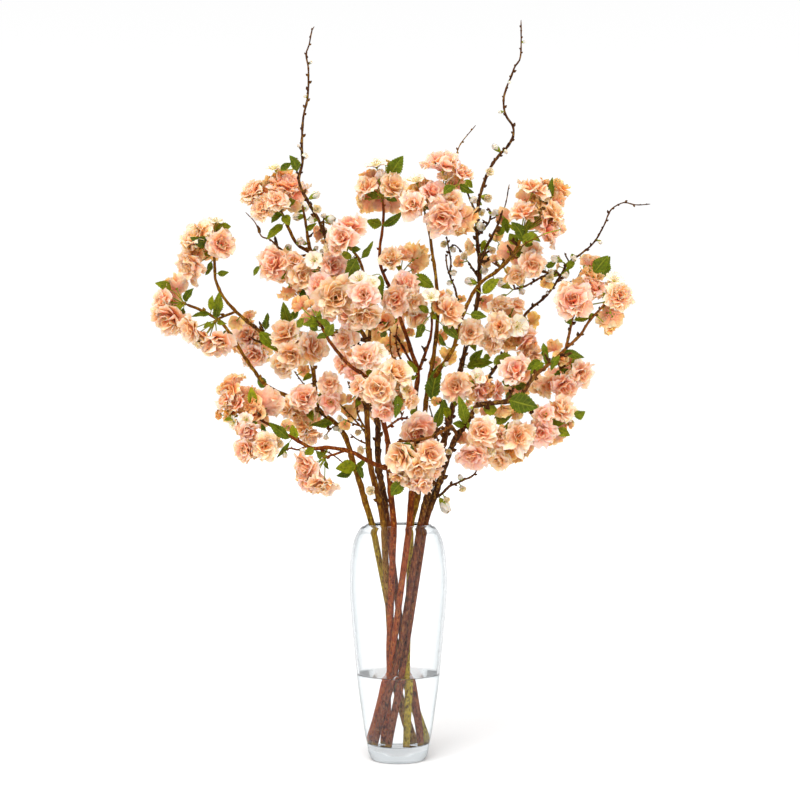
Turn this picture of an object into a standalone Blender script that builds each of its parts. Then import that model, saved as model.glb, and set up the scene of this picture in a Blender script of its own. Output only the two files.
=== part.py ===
"""Cut branches of peach blossom standing in a clear glass vase of water.

Eight branches cross in the vase and fan out above it. They carry sprays of double
peach blossom, single cream blossoms with yellow middles, small white blossoms and
buds on bare dark twigs, and olive green leaves. Metres, +Z up. The viewer stands at
-Y and looks along +Y. The origin is the middle of the foot of the vase.
"""

import math

import bpy
from mathutils import Vector

MM = 0.001
UP = Vector((0, 0, 1))
BACK = Vector((0, 1, 0))
RIGHT = Vector((1, 0, 0))

# The vase, in millimetres
VASE_HEIGHT = 320
MOUTH_RADIUS = 42.5
RIM_RADIUS = 45.5
BELLY_RADIUS = 67
BELLY_HEIGHT = 245
SHOULDER_CENTRE = 40
FOOT_RADIUS = 40.5
FOOT_EDGE = 4
BODY_POINTS = [(61.5, 162), (44.2, 28)]
HEEL_HEIGHT = 8
BASE_THICKNESS = 21
BASE_RADIUS_INSIDE = 31
WALL = 3.6
VASE_SIDES = 20
WATER_HEIGHT = 116
CLEARANCE = 0.3

# The stems where they stand in the vase, in millimetres and degrees
STEM_RADIUS = 4.3
STEM_FOOT_RING = 29
STEM_FOOT_HEIGHT = 22.6
WAIST_RING = 12.5
WAIST_HEIGHT = 150
FOOT_TURN = -80
HOLE_DEPTH_BELOW_FOOT = 20

# Sides of the round bars, and how far a path may stray from its points
STEM_SIDES = 5
BRANCH_SIDES = 4
TWIG_SIDES = 3
SLACK = 2.4
LEAST_SPAN = 0.001

# Where the viewer's eye is, in millimetres: each point of the crown is written as it
# is seen against the upright plane through the middle of the vase, with its depth
# behind that plane, and moves along its line of sight to that depth
EYE_X = 2.2
EYE_Z = 490
EYE_DISTANCE = 2250

# How much deeper the crown is than its points are written, where that begins, and
# over what height it grows
FAN = 2.3
FAN_START = 345
FAN_HEIGHT = 130

# Blossoms, leaves and their stalks, in millimetres. A blossom stands at the reach from
# its knob, but at least the least rise, a share of the reach, before or behind it
REACH = 30
LEAST_RISE = 0.3
STALK_RADIUS = 0.8
KNOB_LENGTH = 6
KNOB_START_RADIUS = 2.1
KNOB_END_RADIUS = 3
LEAF_THICKNESS = 1.2
LEAF_SAG = 0.06
NARROW_LEAF = 13.5
SMALL_BLOSSOM = 13.5
LARGE_BLOSSOM = 20
GOLDEN_ANGLE = math.radians(137.5)
CREASE_ANGLE = math.radians(40)

# Kinds of blossom: double ones that face the viewer, double ones on the far side of
# their spray, double ones that show their backs, single ones and closed buds
DOUBLE = "double"
FAR = "far"
AWAY = "away"
SINGLE = "single"
BUD = "bud"

GLASS_GREY = (0.80, 0.84, 0.85, 1)
WATER_BLUE = (0.72, 0.80, 0.83, 1)
PEACH = (0.90, 0.47, 0.34, 1)
OLIVE_BROWN = (0.20, 0.11, 0.03, 1)
BROWN = (0.15, 0.06, 0.03, 1)
RED_BROWN = (0.17, 0.05, 0.03, 1)
DARK_BROWN = (0.04, 0.02, 0.015, 1)

# Each stem: its bark, the turn of its place in the ring at the waist, its place in
# the mouth (x, y), how far it leans back for each step up, its end radius and its path
# through the crown (x, z, depth).
# Its branches: start and end radius, number of sides and path
STEMS = {
    "stem_far_left": {
        "bark": OLIVE_BROWN,
        "turn": 100,
        "mouth": (-36, 2),
        "lean": 0.22,
        "end": 3.0,
        "crown": [(-45, 350, 2), (-53, 378, 0), (-62, 405, -2), (-68, 428, -2),
                  (-77, 448, 0), (-88, 460, 3), (-100, 469, 5), (-112, 481, 8)],
        "branches": {
            "left_arc": (3.0, 1.9, BRANCH_SIDES, [
                (-112, 481, 8), (-130, 488, 10), (-147, 494, 10), (-165, 501, 6),
                (-184, 513, 0), (-197, 530, -5), (-211, 550, -8), (-225, 573, -10),
                (-240, 594, -10), (-248, 601, -10), (-270, 613, -10), (-290, 621, -10)]),
            "left_rise": (3.2, 1.9, BRANCH_SIDES, [
                (-112, 481, 8), (-114, 505, 16), (-118, 538, 24), (-130, 560, 25),
                (-152, 574, 18), (-178, 578, 8), (-197, 590, 3), (-222, 611, 0),
                (-240, 632, -4), (-250, 655, -6), (-251, 672, -6), (-252, 688, -6)]),
            "left_link": (1.8, 1.8, TWIG_SIDES, [
                (-222, 611, 0), (-235, 606, -5), (-247, 601, -10)]),
            "arc_spur": (1.6, 1.4, TWIG_SIDES, [(-248, 601, -10), (-250, 598, -19)]),
            "fork_spur": (1.6, 1.4, TWIG_SIDES, [
                (-184, 580, 6), (-184, 570, 22), (-191, 564, 40)]),
            "middle_spur": (1.8, 1.5, TWIG_SIDES, [
                (-135, 563, 24), (-138, 563, 12), (-140, 562, 2)]),
            "low_spur": (1.8, 1.5, TWIG_SIDES, [
                (-105, 474, 6), (-115, 477, -5), (-122, 478, -13)]),
            "low_right_spur": (1.8, 1.5, TWIG_SIDES, [
                (-100, 470, 5), (-97, 482, -4), (-95, 492, -12)]),
            "bud_twig": (1.1, 0.8, TWIG_SIDES, [
                (-84, 456, 2), (-94, 449, -3), (-99, 441, -5)]),
        },
    },
    "stem_left": {
        "bark": BROWN,
        "turn": 145,
        "mouth": (-20, -20),
        "lean": -0.05,
        "end": 2.0,
        "crown": [(-25, 348, -22), (-32, 375, -21), (-38, 400, -17), (-41, 425, -12),
                  (-42, 450, -6), (-43, 485, 0), (-42, 515, 8), (-40, 540, 12),
                  (-40, 560, 15), (-48, 580, 20), (-62, 600, 25), (-85, 640, 27),
                  (-105, 672, 22), (-118, 690, 18), (-138, 703, 12), (-150, 725, 8),
                  (-160, 748, 5)],
        "branches": {
            "middle_rise": (2.6, 1.8, BRANCH_SIDES, [
                (-40, 560, 15), (-39, 600, 6), (-44, 635, 0), (-47, 662, -6),
                (-54, 683, -12), (-63, 695, -16)]),
            "knobbed_twig": (2.8, 1.4, BRANCH_SIDES, [
                (-118, 690, 18), (-122, 702, 24), (-126, 728, 28), (-131, 757, 30)]),
            "long_twig": (1.8, 0.6, TWIG_SIDES, [
                (-118, 690, 18), (-135, 687, 20), (-150, 690, 22), (-165, 700, 24),
                (-176, 710, 26), (-187, 714, 26), (-196, 733, 26), (-209, 747, 26)]),
            "short_twig": (1.3, 0.7, TWIG_SIDES, [
                (-140, 688, 20), (-152, 684, 25), (-160, 692, 28), (-172, 704, 30)]),
            "shoulder_spur": (1.8, 1.5, TWIG_SIDES, [
                (-105, 672, 22), (-125, 667, 12), (-147, 667, 6)]),
            "shoulder_right_spur": (1.8, 1.5, TWIG_SIDES, [
                (-99, 662, 24), (-104, 665, 12), (-106, 668, 3)]),
            "crown_spur": (1.8, 1.6, TWIG_SIDES, [
                (-80, 632, 27), (-84, 632, 10), (-87, 632, -6)]),
            "crown_right_spur": (1.8, 1.6, TWIG_SIDES, [
                (-42, 622, 2), (-45, 627, -8), (-47, 629, -17)]),
            "dull_spur": (1.6, 1.4, TWIG_SIDES, [
                (-44, 570, 17), (-56, 573, 8), (-62, 574, 1)]),
            "heart_spur": (1.8, 1.5, TWIG_SIDES, [
                (-42, 515, 8), (-46, 530, -6), (-48, 537, -17)]),
            "cross_twig": (1.3, 0.8, TWIG_SIDES, [
                (-42, 430, -10), (-50, 433, -10), (-59, 438, -10), (-66, 444, -10)]),
            "upper_cross_twig": (1.3, 0.8, TWIG_SIDES, [
                (-43, 452, -6), (-57, 456, -7), (-71, 462, -9)]),
        },
    },
    "stem_dark_left": {
        "bark": DARK_BROWN,
        "turn": 55,
        "mouth": (-15, 29),
        "lean": 0,
        "end": 0.8,
        "crown": [(-18, 345, 29), (-22, 370, 29), (-27, 400, 28), (-28, 430, 27),
                  (-29, 465, 27), (-38, 482, 29), (-45, 505, 32), (-52, 540, 35),
                  (-57, 570, 37), (-65, 595, 41), (-78, 625, 43), (-90, 660, 38),
                  (-95, 690, 20), (-100, 714, 0), (-110, 738, -10), (-120, 755, -15),
                  (-132, 778, -20), (-136, 792, -20), (-131, 815, -18), (-132, 835, -16),
                  (-130, 876, -14), (-124, 904, -12), (-123, 944, -10), (-126, 963, -10),
                  (-122, 976, -10), (-118, 996, -10), (-115, 1001, -10)],
        "branches": {
            "bud_shoot": (1.2, 0.9, TWIG_SIDES, [
                (-135, 796, -19), (-140, 806, -19), (-139, 818, -19)]),
            "upper_knob": (1.6, 0.9, TWIG_SIDES, [(-132, 832, -16), (-137, 838, -17)]),
            "dark_shoot": (1.6, 1.0, TWIG_SIDES, [
                (-99, 711, 2), (-102, 728, -2), (-102, 741, -4)]),
        },
    },
    "stem_front_left": {
        "bark": RED_BROWN,
        "turn": 190,
        "mouth": (-6, -29),
        "lean": 0,
        "end": 1.8,
        "crown": [(-8, 340, -30), (-10, 360, -31), (-12, 385, -31), (-14, 405, -31),
                  (-14, 430, -31), (-18, 450, -31), (-22, 468, -32), (-28, 490, -38),
                  (-36, 513, -48), (-50, 526, -56), (-66, 537, -58), (-80, 552, -56),
                  (-90, 565, -52), (-98, 577, -46), (-106, 594, -38)],
        "branches": {
            "low_arm": (3.2, 1.8, BRANCH_SIDES, [
                (-14, 396, -31), (-29, 401, -38), (-42, 407, -42), (-62, 418, -44),
                (-80, 423, -44), (-98, 425, -42), (-117, 424, -40), (-137, 434, -38),
                (-158, 446, -34), (-180, 458, -30), (-191, 465, -28)]),
            "hanging_twig": (1.8, 1.4, TWIG_SIDES, [
                (-73, 421, -44), (-86, 416, -47), (-97, 413, -47)]),
            "arm_spur": (1.6, 1.3, TWIG_SIDES, [
                (-158, 446, -34), (-172, 441, -34), (-183, 437, -33)]),
            "dark_bud_twig": (1.4, 0.9, TWIG_SIDES, [
                (-124, 427, -39), (-137, 422, -41), (-148, 424, -41), (-159, 421, -41)]),
            "hook_twig": (1.4, 1.2, TWIG_SIDES, [
                (-16, 451, -31), (-6, 459, -24), (4, 465, -18), (14, 464, -12),
                (21, 461, -6)]),
            "front_spur": (1.8, 1.6, TWIG_SIDES, [
                (-25, 480, -35), (-22, 494, -44), (-20, 502, -52)]),
        },
    },
    "stem_centre": {
        "bark": RED_BROWN,
        "turn": 235,
        "mouth": (15, -27),
        "lean": 0.18,
        "end": 1.7,
        "crown": [(17, 345, -26), (19, 370, -20), (20, 400, -10), (22, 430, 4),
                  (22, 460, 8), (24, 500, 4), (27, 528, -2), (20, 550, 2), (12, 575, 6),
                  (4, 598, 8), (-4, 625, 9), (-12, 645, 9), (-18, 657, 7),
                  (-25, 678, 5), (-25, 700, 5), (-22, 720, 3), (-20, 745, 0),
                  (-21, 764, 0)],
        "branches": {
            "right_rise": (2.4, 1.6, TWIG_SIDES, [
                (27, 528, -2), (33, 543, -6), (38, 557, -10), (44, 575, -14),
                (46, 592, -17), (46, 604, -20)]),
            "back_rise": (2.0, 1.5, TWIG_SIDES, [
                (26, 530, -1), (14, 548, 12), (2, 570, 24), (-12, 586, 32)]),
            "inner_spur": (1.7, 1.5, TWIG_SIDES, [
                (0, 612, 8), (3, 623, -4), (5, 630, -14)]),
            "hanging_spur": (1.5, 1.2, TWIG_SIDES, [
                (-9, 638, 9), (-3, 651, 6), (2, 660, 4)]),
        },
    },
    "stem_olive": {
        "bark": OLIVE_BROWN,
        "turn": 10,
        "mouth": (18, 27),
        "lean": -0.05,
        "end": 1.7,
        "crown": [(24, 345, 28), (30, 380, 28), (34, 420, 26), (36, 460, 24),
                  (38, 490, 20), (43, 520, 17), (48, 548, 15), (52, 580, 14),
                  (54, 610, 12), (53, 640, 10), (50, 670, 8), (46, 695, 6),
                  (44, 712, 4), (40, 730, 2), (36, 748, 0)],
        "branches": {
            "upper_fork": (1.8, 1.5, BRANCH_SIDES, [
                (44, 711, 4), (51, 724, 2), (58, 738, 2), (64, 748, 0)]),
            "top_twig": (1.4, 0.6, TWIG_SIDES, [
                (48, 718, 3), (58, 770, 24), (76, 812, 28), (84, 838, 26), (106, 866, 24)]),
            "right_sweep": (3.2, 2.0, BRANCH_SIDES, [
                (40, 503, 18), (57, 533, 10), (68, 548, 6), (77, 565, 4), (82, 590, 4),
                (90, 610, 6), (98, 628, 8), (106, 642, 10), (118, 655, 10),
                (132, 664, 8), (147, 677, 5), (157, 690, 3), (164, 702, 0),
                (169, 716, -2)]),
            "dark_twig": (1.6, 0.7, TWIG_SIDES, [
                (150, 680, 4), (160, 690, -14), (174, 704, -30), (187, 711, -32),
                (198, 716, -32)]),
            "sweep_spur": (1.6, 1.4, TWIG_SIDES, [
                (155, 687, 3), (165, 683, 10), (171, 680, 15)]),
        },
    },
    "stem_dark_right": {
        "bark": DARK_BROWN,
        "turn": 280,
        "mouth": (30, -14),
        "lean": 0.06,
        "end": 0.8,
        "crown": [(36, 345, -12), (42, 365, -8), (49, 388, -4), (56, 412, 2),
                  (63, 435, 8), (69, 457, 14), (75, 483, 21), (80, 510, 27),
                  (86, 535, 31), (92, 560, 33), (99, 585, 34), (106, 613, 34),
                  (110, 640, 32), (111, 680, 28), (108, 710, 24), (108, 740, 20),
                  (111, 765, 16), (117, 786, 12), (125, 806, 10), (138, 825, 8),
                  (148, 835, 8), (157, 850, 8), (157, 864, 8), (147, 880, 8),
                  (144, 900, 8), (148, 917, 8), (154, 931, 8), (160, 947, 8),
                  (166, 955, 8), (168, 970, 8), (168, 1010, 8)],
        "branches": {
            "right_reach": (2.8, 0.7, BRANCH_SIDES, [
                (75, 483, 21), (95, 497, 38), (115, 512, 47), (130, 530, 52),
                (145, 553, 54), (162, 588, 52), (178, 612, 48), (200, 630, 44),
                (212, 645, 40), (222, 660, 36), (232, 677, 32), (250, 690, 28),
                (268, 706, 24), (282, 730, 20), (291, 750, 16), (308, 760, 14),
                (325, 757, 12), (345, 758, 10)]),
            "reach_side": (1.7, 1.2, TWIG_SIDES, [
                (222, 660, 36), (212, 662, 34), (198, 659, 32), (185, 652, 30),
                (172, 645, 28), (157, 641, 26)]),
            "left_shoot": (1.8, 1.2, TWIG_SIDES, [
                (111, 656, 31), (103, 668, 26), (95, 680, 22)]),
            "upper_left_shoot": (1.9, 1.1, TWIG_SIDES, [
                (108, 738, 20), (101, 758, 18), (95, 773, 16), (93, 780, 16)]),
            "right_shoot": (1.5, 1.2, TWIG_SIDES, [
                (109, 715, 23), (118, 725, 18), (125, 736, 14), (126, 748, 12),
                (122, 753, 12)]),
            "fine_shoot": (1.1, 0.7, TWIG_SIDES, [
                (125, 736, 14), (143, 748, 12), (152, 785, 12)]),
            "slim_rise": (1.8, 1.0, TWIG_SIDES, [
                (96, 574, 33), (88, 600, 20), (81, 628, 8), (77, 645, 2), (71, 660, 0),
                (72, 680, 0), (69, 697, 0), (66, 714, 0)]),
            "slim_left": (1.2, 0.9, TWIG_SIDES, [
                (72, 658, 1), (67, 672, -4), (65, 690, -7)]),
            "cabbage_spur": (1.8, 1.6, TWIG_SIDES, [
                (79, 503, 25), (83, 505, 8), (86, 506, -8)]),
            "shaded_spur": (1.6, 1.4, TWIG_SIDES, [
                (92, 560, 33), (96, 569, 22), (99, 576, 11)]),
            "right_cluster_spur": (2.0, 1.6, TWIG_SIDES, [
                (99, 585, 34), (116, 583, 26), (132, 582, 17), (144, 583, 10)]),
            "left_twig": (1.4, 0.8, TWIG_SIDES, [
                (57, 417, 2), (53, 440, -5), (50, 455, -8), (46, 470, -8),
                (42, 483, -8)]),
        },
    },
    "stem_right": {
        "bark": DARK_BROWN,
        "turn": 325,
        "mouth": (37, 4),
        "lean": -0.12,
        "end": 1.3,
        "crown": [(42, 338, 3), (50, 360, 0), (60, 388, -4), (67, 410, -8),
                  (79, 438, -14), (91, 455, -17), (100, 470, -18), (108, 482, -18),
                  (130, 486, -18), (150, 488, -18), (165, 493, -18), (172, 502, -18),
                  (185, 521, -15), (200, 534, -10), (215, 546, -5), (229, 560, 0),
                  (240, 570, 0), (250, 580, 0), (262, 599, 0), (276, 614, 0),
                  (286, 623, 2)],
        "branches": {
            "right_fork": (2.0, 1.5, BRANCH_SIDES, [
                (229, 560, 0), (232, 572, 2), (235, 585, 3), (238, 600, 4),
                (243, 614, 6)]),
            "olive_branch": (2.4, 1.5, BRANCH_SIDES, [
                (81, 441, -15), (72, 454, -28), (62, 449, -38), (50, 441, -44),
                (35, 437, -48), (15, 434, -50), (-2, 433, -50)]),
            "olive_spur": (1.5, 1.3, TWIG_SIDES, [
                (22, 435, -50), (24, 426, -50), (25, 419, -50)]),
            "low_twig": (1.9, 1.0, TWIG_SIDES, [
                (48, 354, 0), (60, 362, -4), (70, 372, -6), (80, 376, -6), (90, 381, -6),
                (100, 385, -4), (107, 393, -2), (109, 403, 0)]),
            "cup_spur": (1.8, 1.5, TWIG_SIDES, [
                (91, 455, -17), (101, 447, -20), (107, 440, -22)]),
            "side_spur": (1.7, 1.4, TWIG_SIDES, [
                (101, 447, -20), (125, 441, -14), (146, 437, -8)]),
            "lower_right_spur": (1.8, 1.4, TWIG_SIDES, [
                (152, 489, -18), (170, 482, -10), (187, 472, -4), (199, 464, 0)]),
            "fork_spur": (1.6, 1.4, TWIG_SIDES, [
                (215, 546, -5), (219, 540, 6), (222, 534, 12)]),
            "flat_spur": (1.6, 1.4, TWIG_SIDES, [
                (148, 488, -18), (154, 498, -4), (157, 506, 6)]),
        },
    },
}

# Small white blossoms and buds that sit on the bare twigs of a stem, fused to its
# wood: x, z, depth behind the wood, radius and kind
STUDS = {
    "stem_far_left": [
        (-99, 439, -1, 4, BUD),
    ],
    "stem_left": [
        (-137, 741, 3, 6, BUD), (-117, 738, -9, 6, BUD), (-128, 753, 10, 8, SINGLE),
        (-151, 698, 7, 5, BUD), (-54, 446, -10, 8, SINGLE), (-50, 422, -10, 8, SINGLE),
        (-78, 464, -5, 8, SINGLE), (-37, 366, -9, 9, SINGLE),
    ],
    "stem_dark_left": [
        (-128, 824, -1, 4.5, BUD), (-114, 770, 0, 5.5, BUD), (-112, 751, -8, 9, SINGLE),
        (-93, 737, -5, 6, BUD), (-90, 721, -12, 8, SINGLE),
    ],
    "stem_front_left": [
        (-131, 420, -4, 5, BUD),
    ],
    "stem_dark_right": [
        (125, 802, -8, 8, SINGLE), (134, 835, 0, 5, BUD), (121, 766, -7, 9, SINGLE),
        (113, 745, -7, 6, SINGLE), (112, 728, -8, 7, BUD), (103, 764, -7, 6, BUD),
        (91, 685, -6, 9, SINGLE), (63, 703, -8, 7, SINGLE), (99, 652, -7, 7, BUD),
        (117, 667, -7, 6, BUD), (128, 695, -10, 7, SINGLE), (142, 650, 10, 8, BUD),
        (169, 651, -8, 8, SINGLE), (207, 658, -7, 9, SINGLE), (220, 682, -2, 8, SINGLE),
        (240, 684, -4, 5, BUD),
    ],
    "stem_right": [
        (65, 355, -4, 8, SINGLE), (87, 370, -4, 8, SINGLE), (69, 419, -8, 7, SINGLE),
        (106, 475, -8, 6, SINGLE),
    ],
}

# Leaves on the wood of a stem: base (x, z), tip (x, z), width, depth of the base behind
# the wood and of the tip behind the base
STEM_LEAVES = {
    "stem_far_left": [
        (-249, 606, -245, 638, 13, -4, -4), (-258, 607, -283, 604, 8, -2, -8),
        (-247, 663, -232, 665, 8, -4, -4), (-256, 680, -264, 660, 8, 4, 8),
        (-228, 573, -239, 587, 12, 8, 8), (-189, 583, -161, 556, 16, -9, -10),
        (-182, 586, -178, 610, 10, -4, -6), (-147, 592, -158, 623, 16, -6, -14),
        (-180, 509, -194, 518, 14, 7, 6), (-118, 525, -131, 517, 9, -1, -6),
        (-90, 458, -121, 456, 13, -11, -12), (-58, 400, -86, 396, 18, -8, -6),
        (-55, 400, -50, 382, 9, -6, -4),
    ],
    "stem_left": [
        (-160, 745, -174, 734, 13, -5, -6), (-158, 742, -149, 729, 12, -6, -4),
        (-158, 730, -181, 711, 12, -3, -8), (-120, 652, -132, 618, 22, 3, -12),
        (-57, 683, -70, 656, 18, -4, -10), (-64, 684, -79, 693, 10, 0, -4),
        (-50, 684, -33, 706, 9, -2, -8), (-131, 755, -137, 745, 8, 4, 6),
        (-125, 722, -112, 731, 8, -5, -6), (-24, 661, -21, 628, 11, 1, -6),
    ],
    "stem_dark_left": [
        (-138, 803, -149, 825, 13, -3, -4),
    ],
    "stem_front_left": [
        (-98, 577, -112, 575, 9, -2, -4), (-97, 578, -88, 595, 12, -4, -6),
        (-150, 437, -178, 459, 14, -6, -4), (-142, 435, -143, 457, 12, 7, 4),
        (-149, 432, -167, 411, 6, 0, -4), (-116, 424, -130, 415, 10, -6, -6),
    ],
    "stem_centre": [
        (-23, 729, -44, 736, 14, -4, -8), (-21, 728, 6, 748, 11, -6, -8),
        (25, 528, 12, 545, 11, -6, -6), (24, 522, 14, 516, 8, -7, -4),
    ],
    "stem_olive": [
        (46, 490, 54, 539, 20, -16, -8), (99, 607, 121, 604, 12, -10, -8),
        (116, 636, 139, 656, 14, -10, -8), (171, 708, 156, 734, 17, -13, -8),
        (172, 708, 186, 719, 14, 24, -6), (165, 703, 152, 718, 14, 6, 6),
        (168, 708, 184, 702, 13, 5, 6),
    ],
    "stem_dark_right": [
        (94, 535, 131, 541, 16, -7, -8), (100, 538, 115, 559, 13, -5, -6),
        (54, 453, 61, 483, 12, -7, -6), (131, 540, 150, 556, 17, -9, -8),
        (138, 548, 159, 545, 14, -5, -6), (112, 690, 122, 688, 10, -7, -8),
        (240, 680, 230, 668, 12, -5, -4),
    ],
    "stem_right": [
        (152, 490, 191, 481, 26, -8, -8), (131, 460, 156, 469, 15, -5, -4),
        (203, 538, 200, 567, 8, 3, 4), (199, 541, 180, 526, 12, -1, -4),
        (236, 593, 230, 613, 9, -4, -4), (241, 599, 271, 608, 13, -4, -6),
        (92, 457, 85, 496, 14, -7, -6), (90, 455, 74, 458, 10, -7, -4),
        (96, 458, 100, 448, 9, -7, -4), (220, 550, 209, 530, 10, -9, -2),
    ],
}

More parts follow.
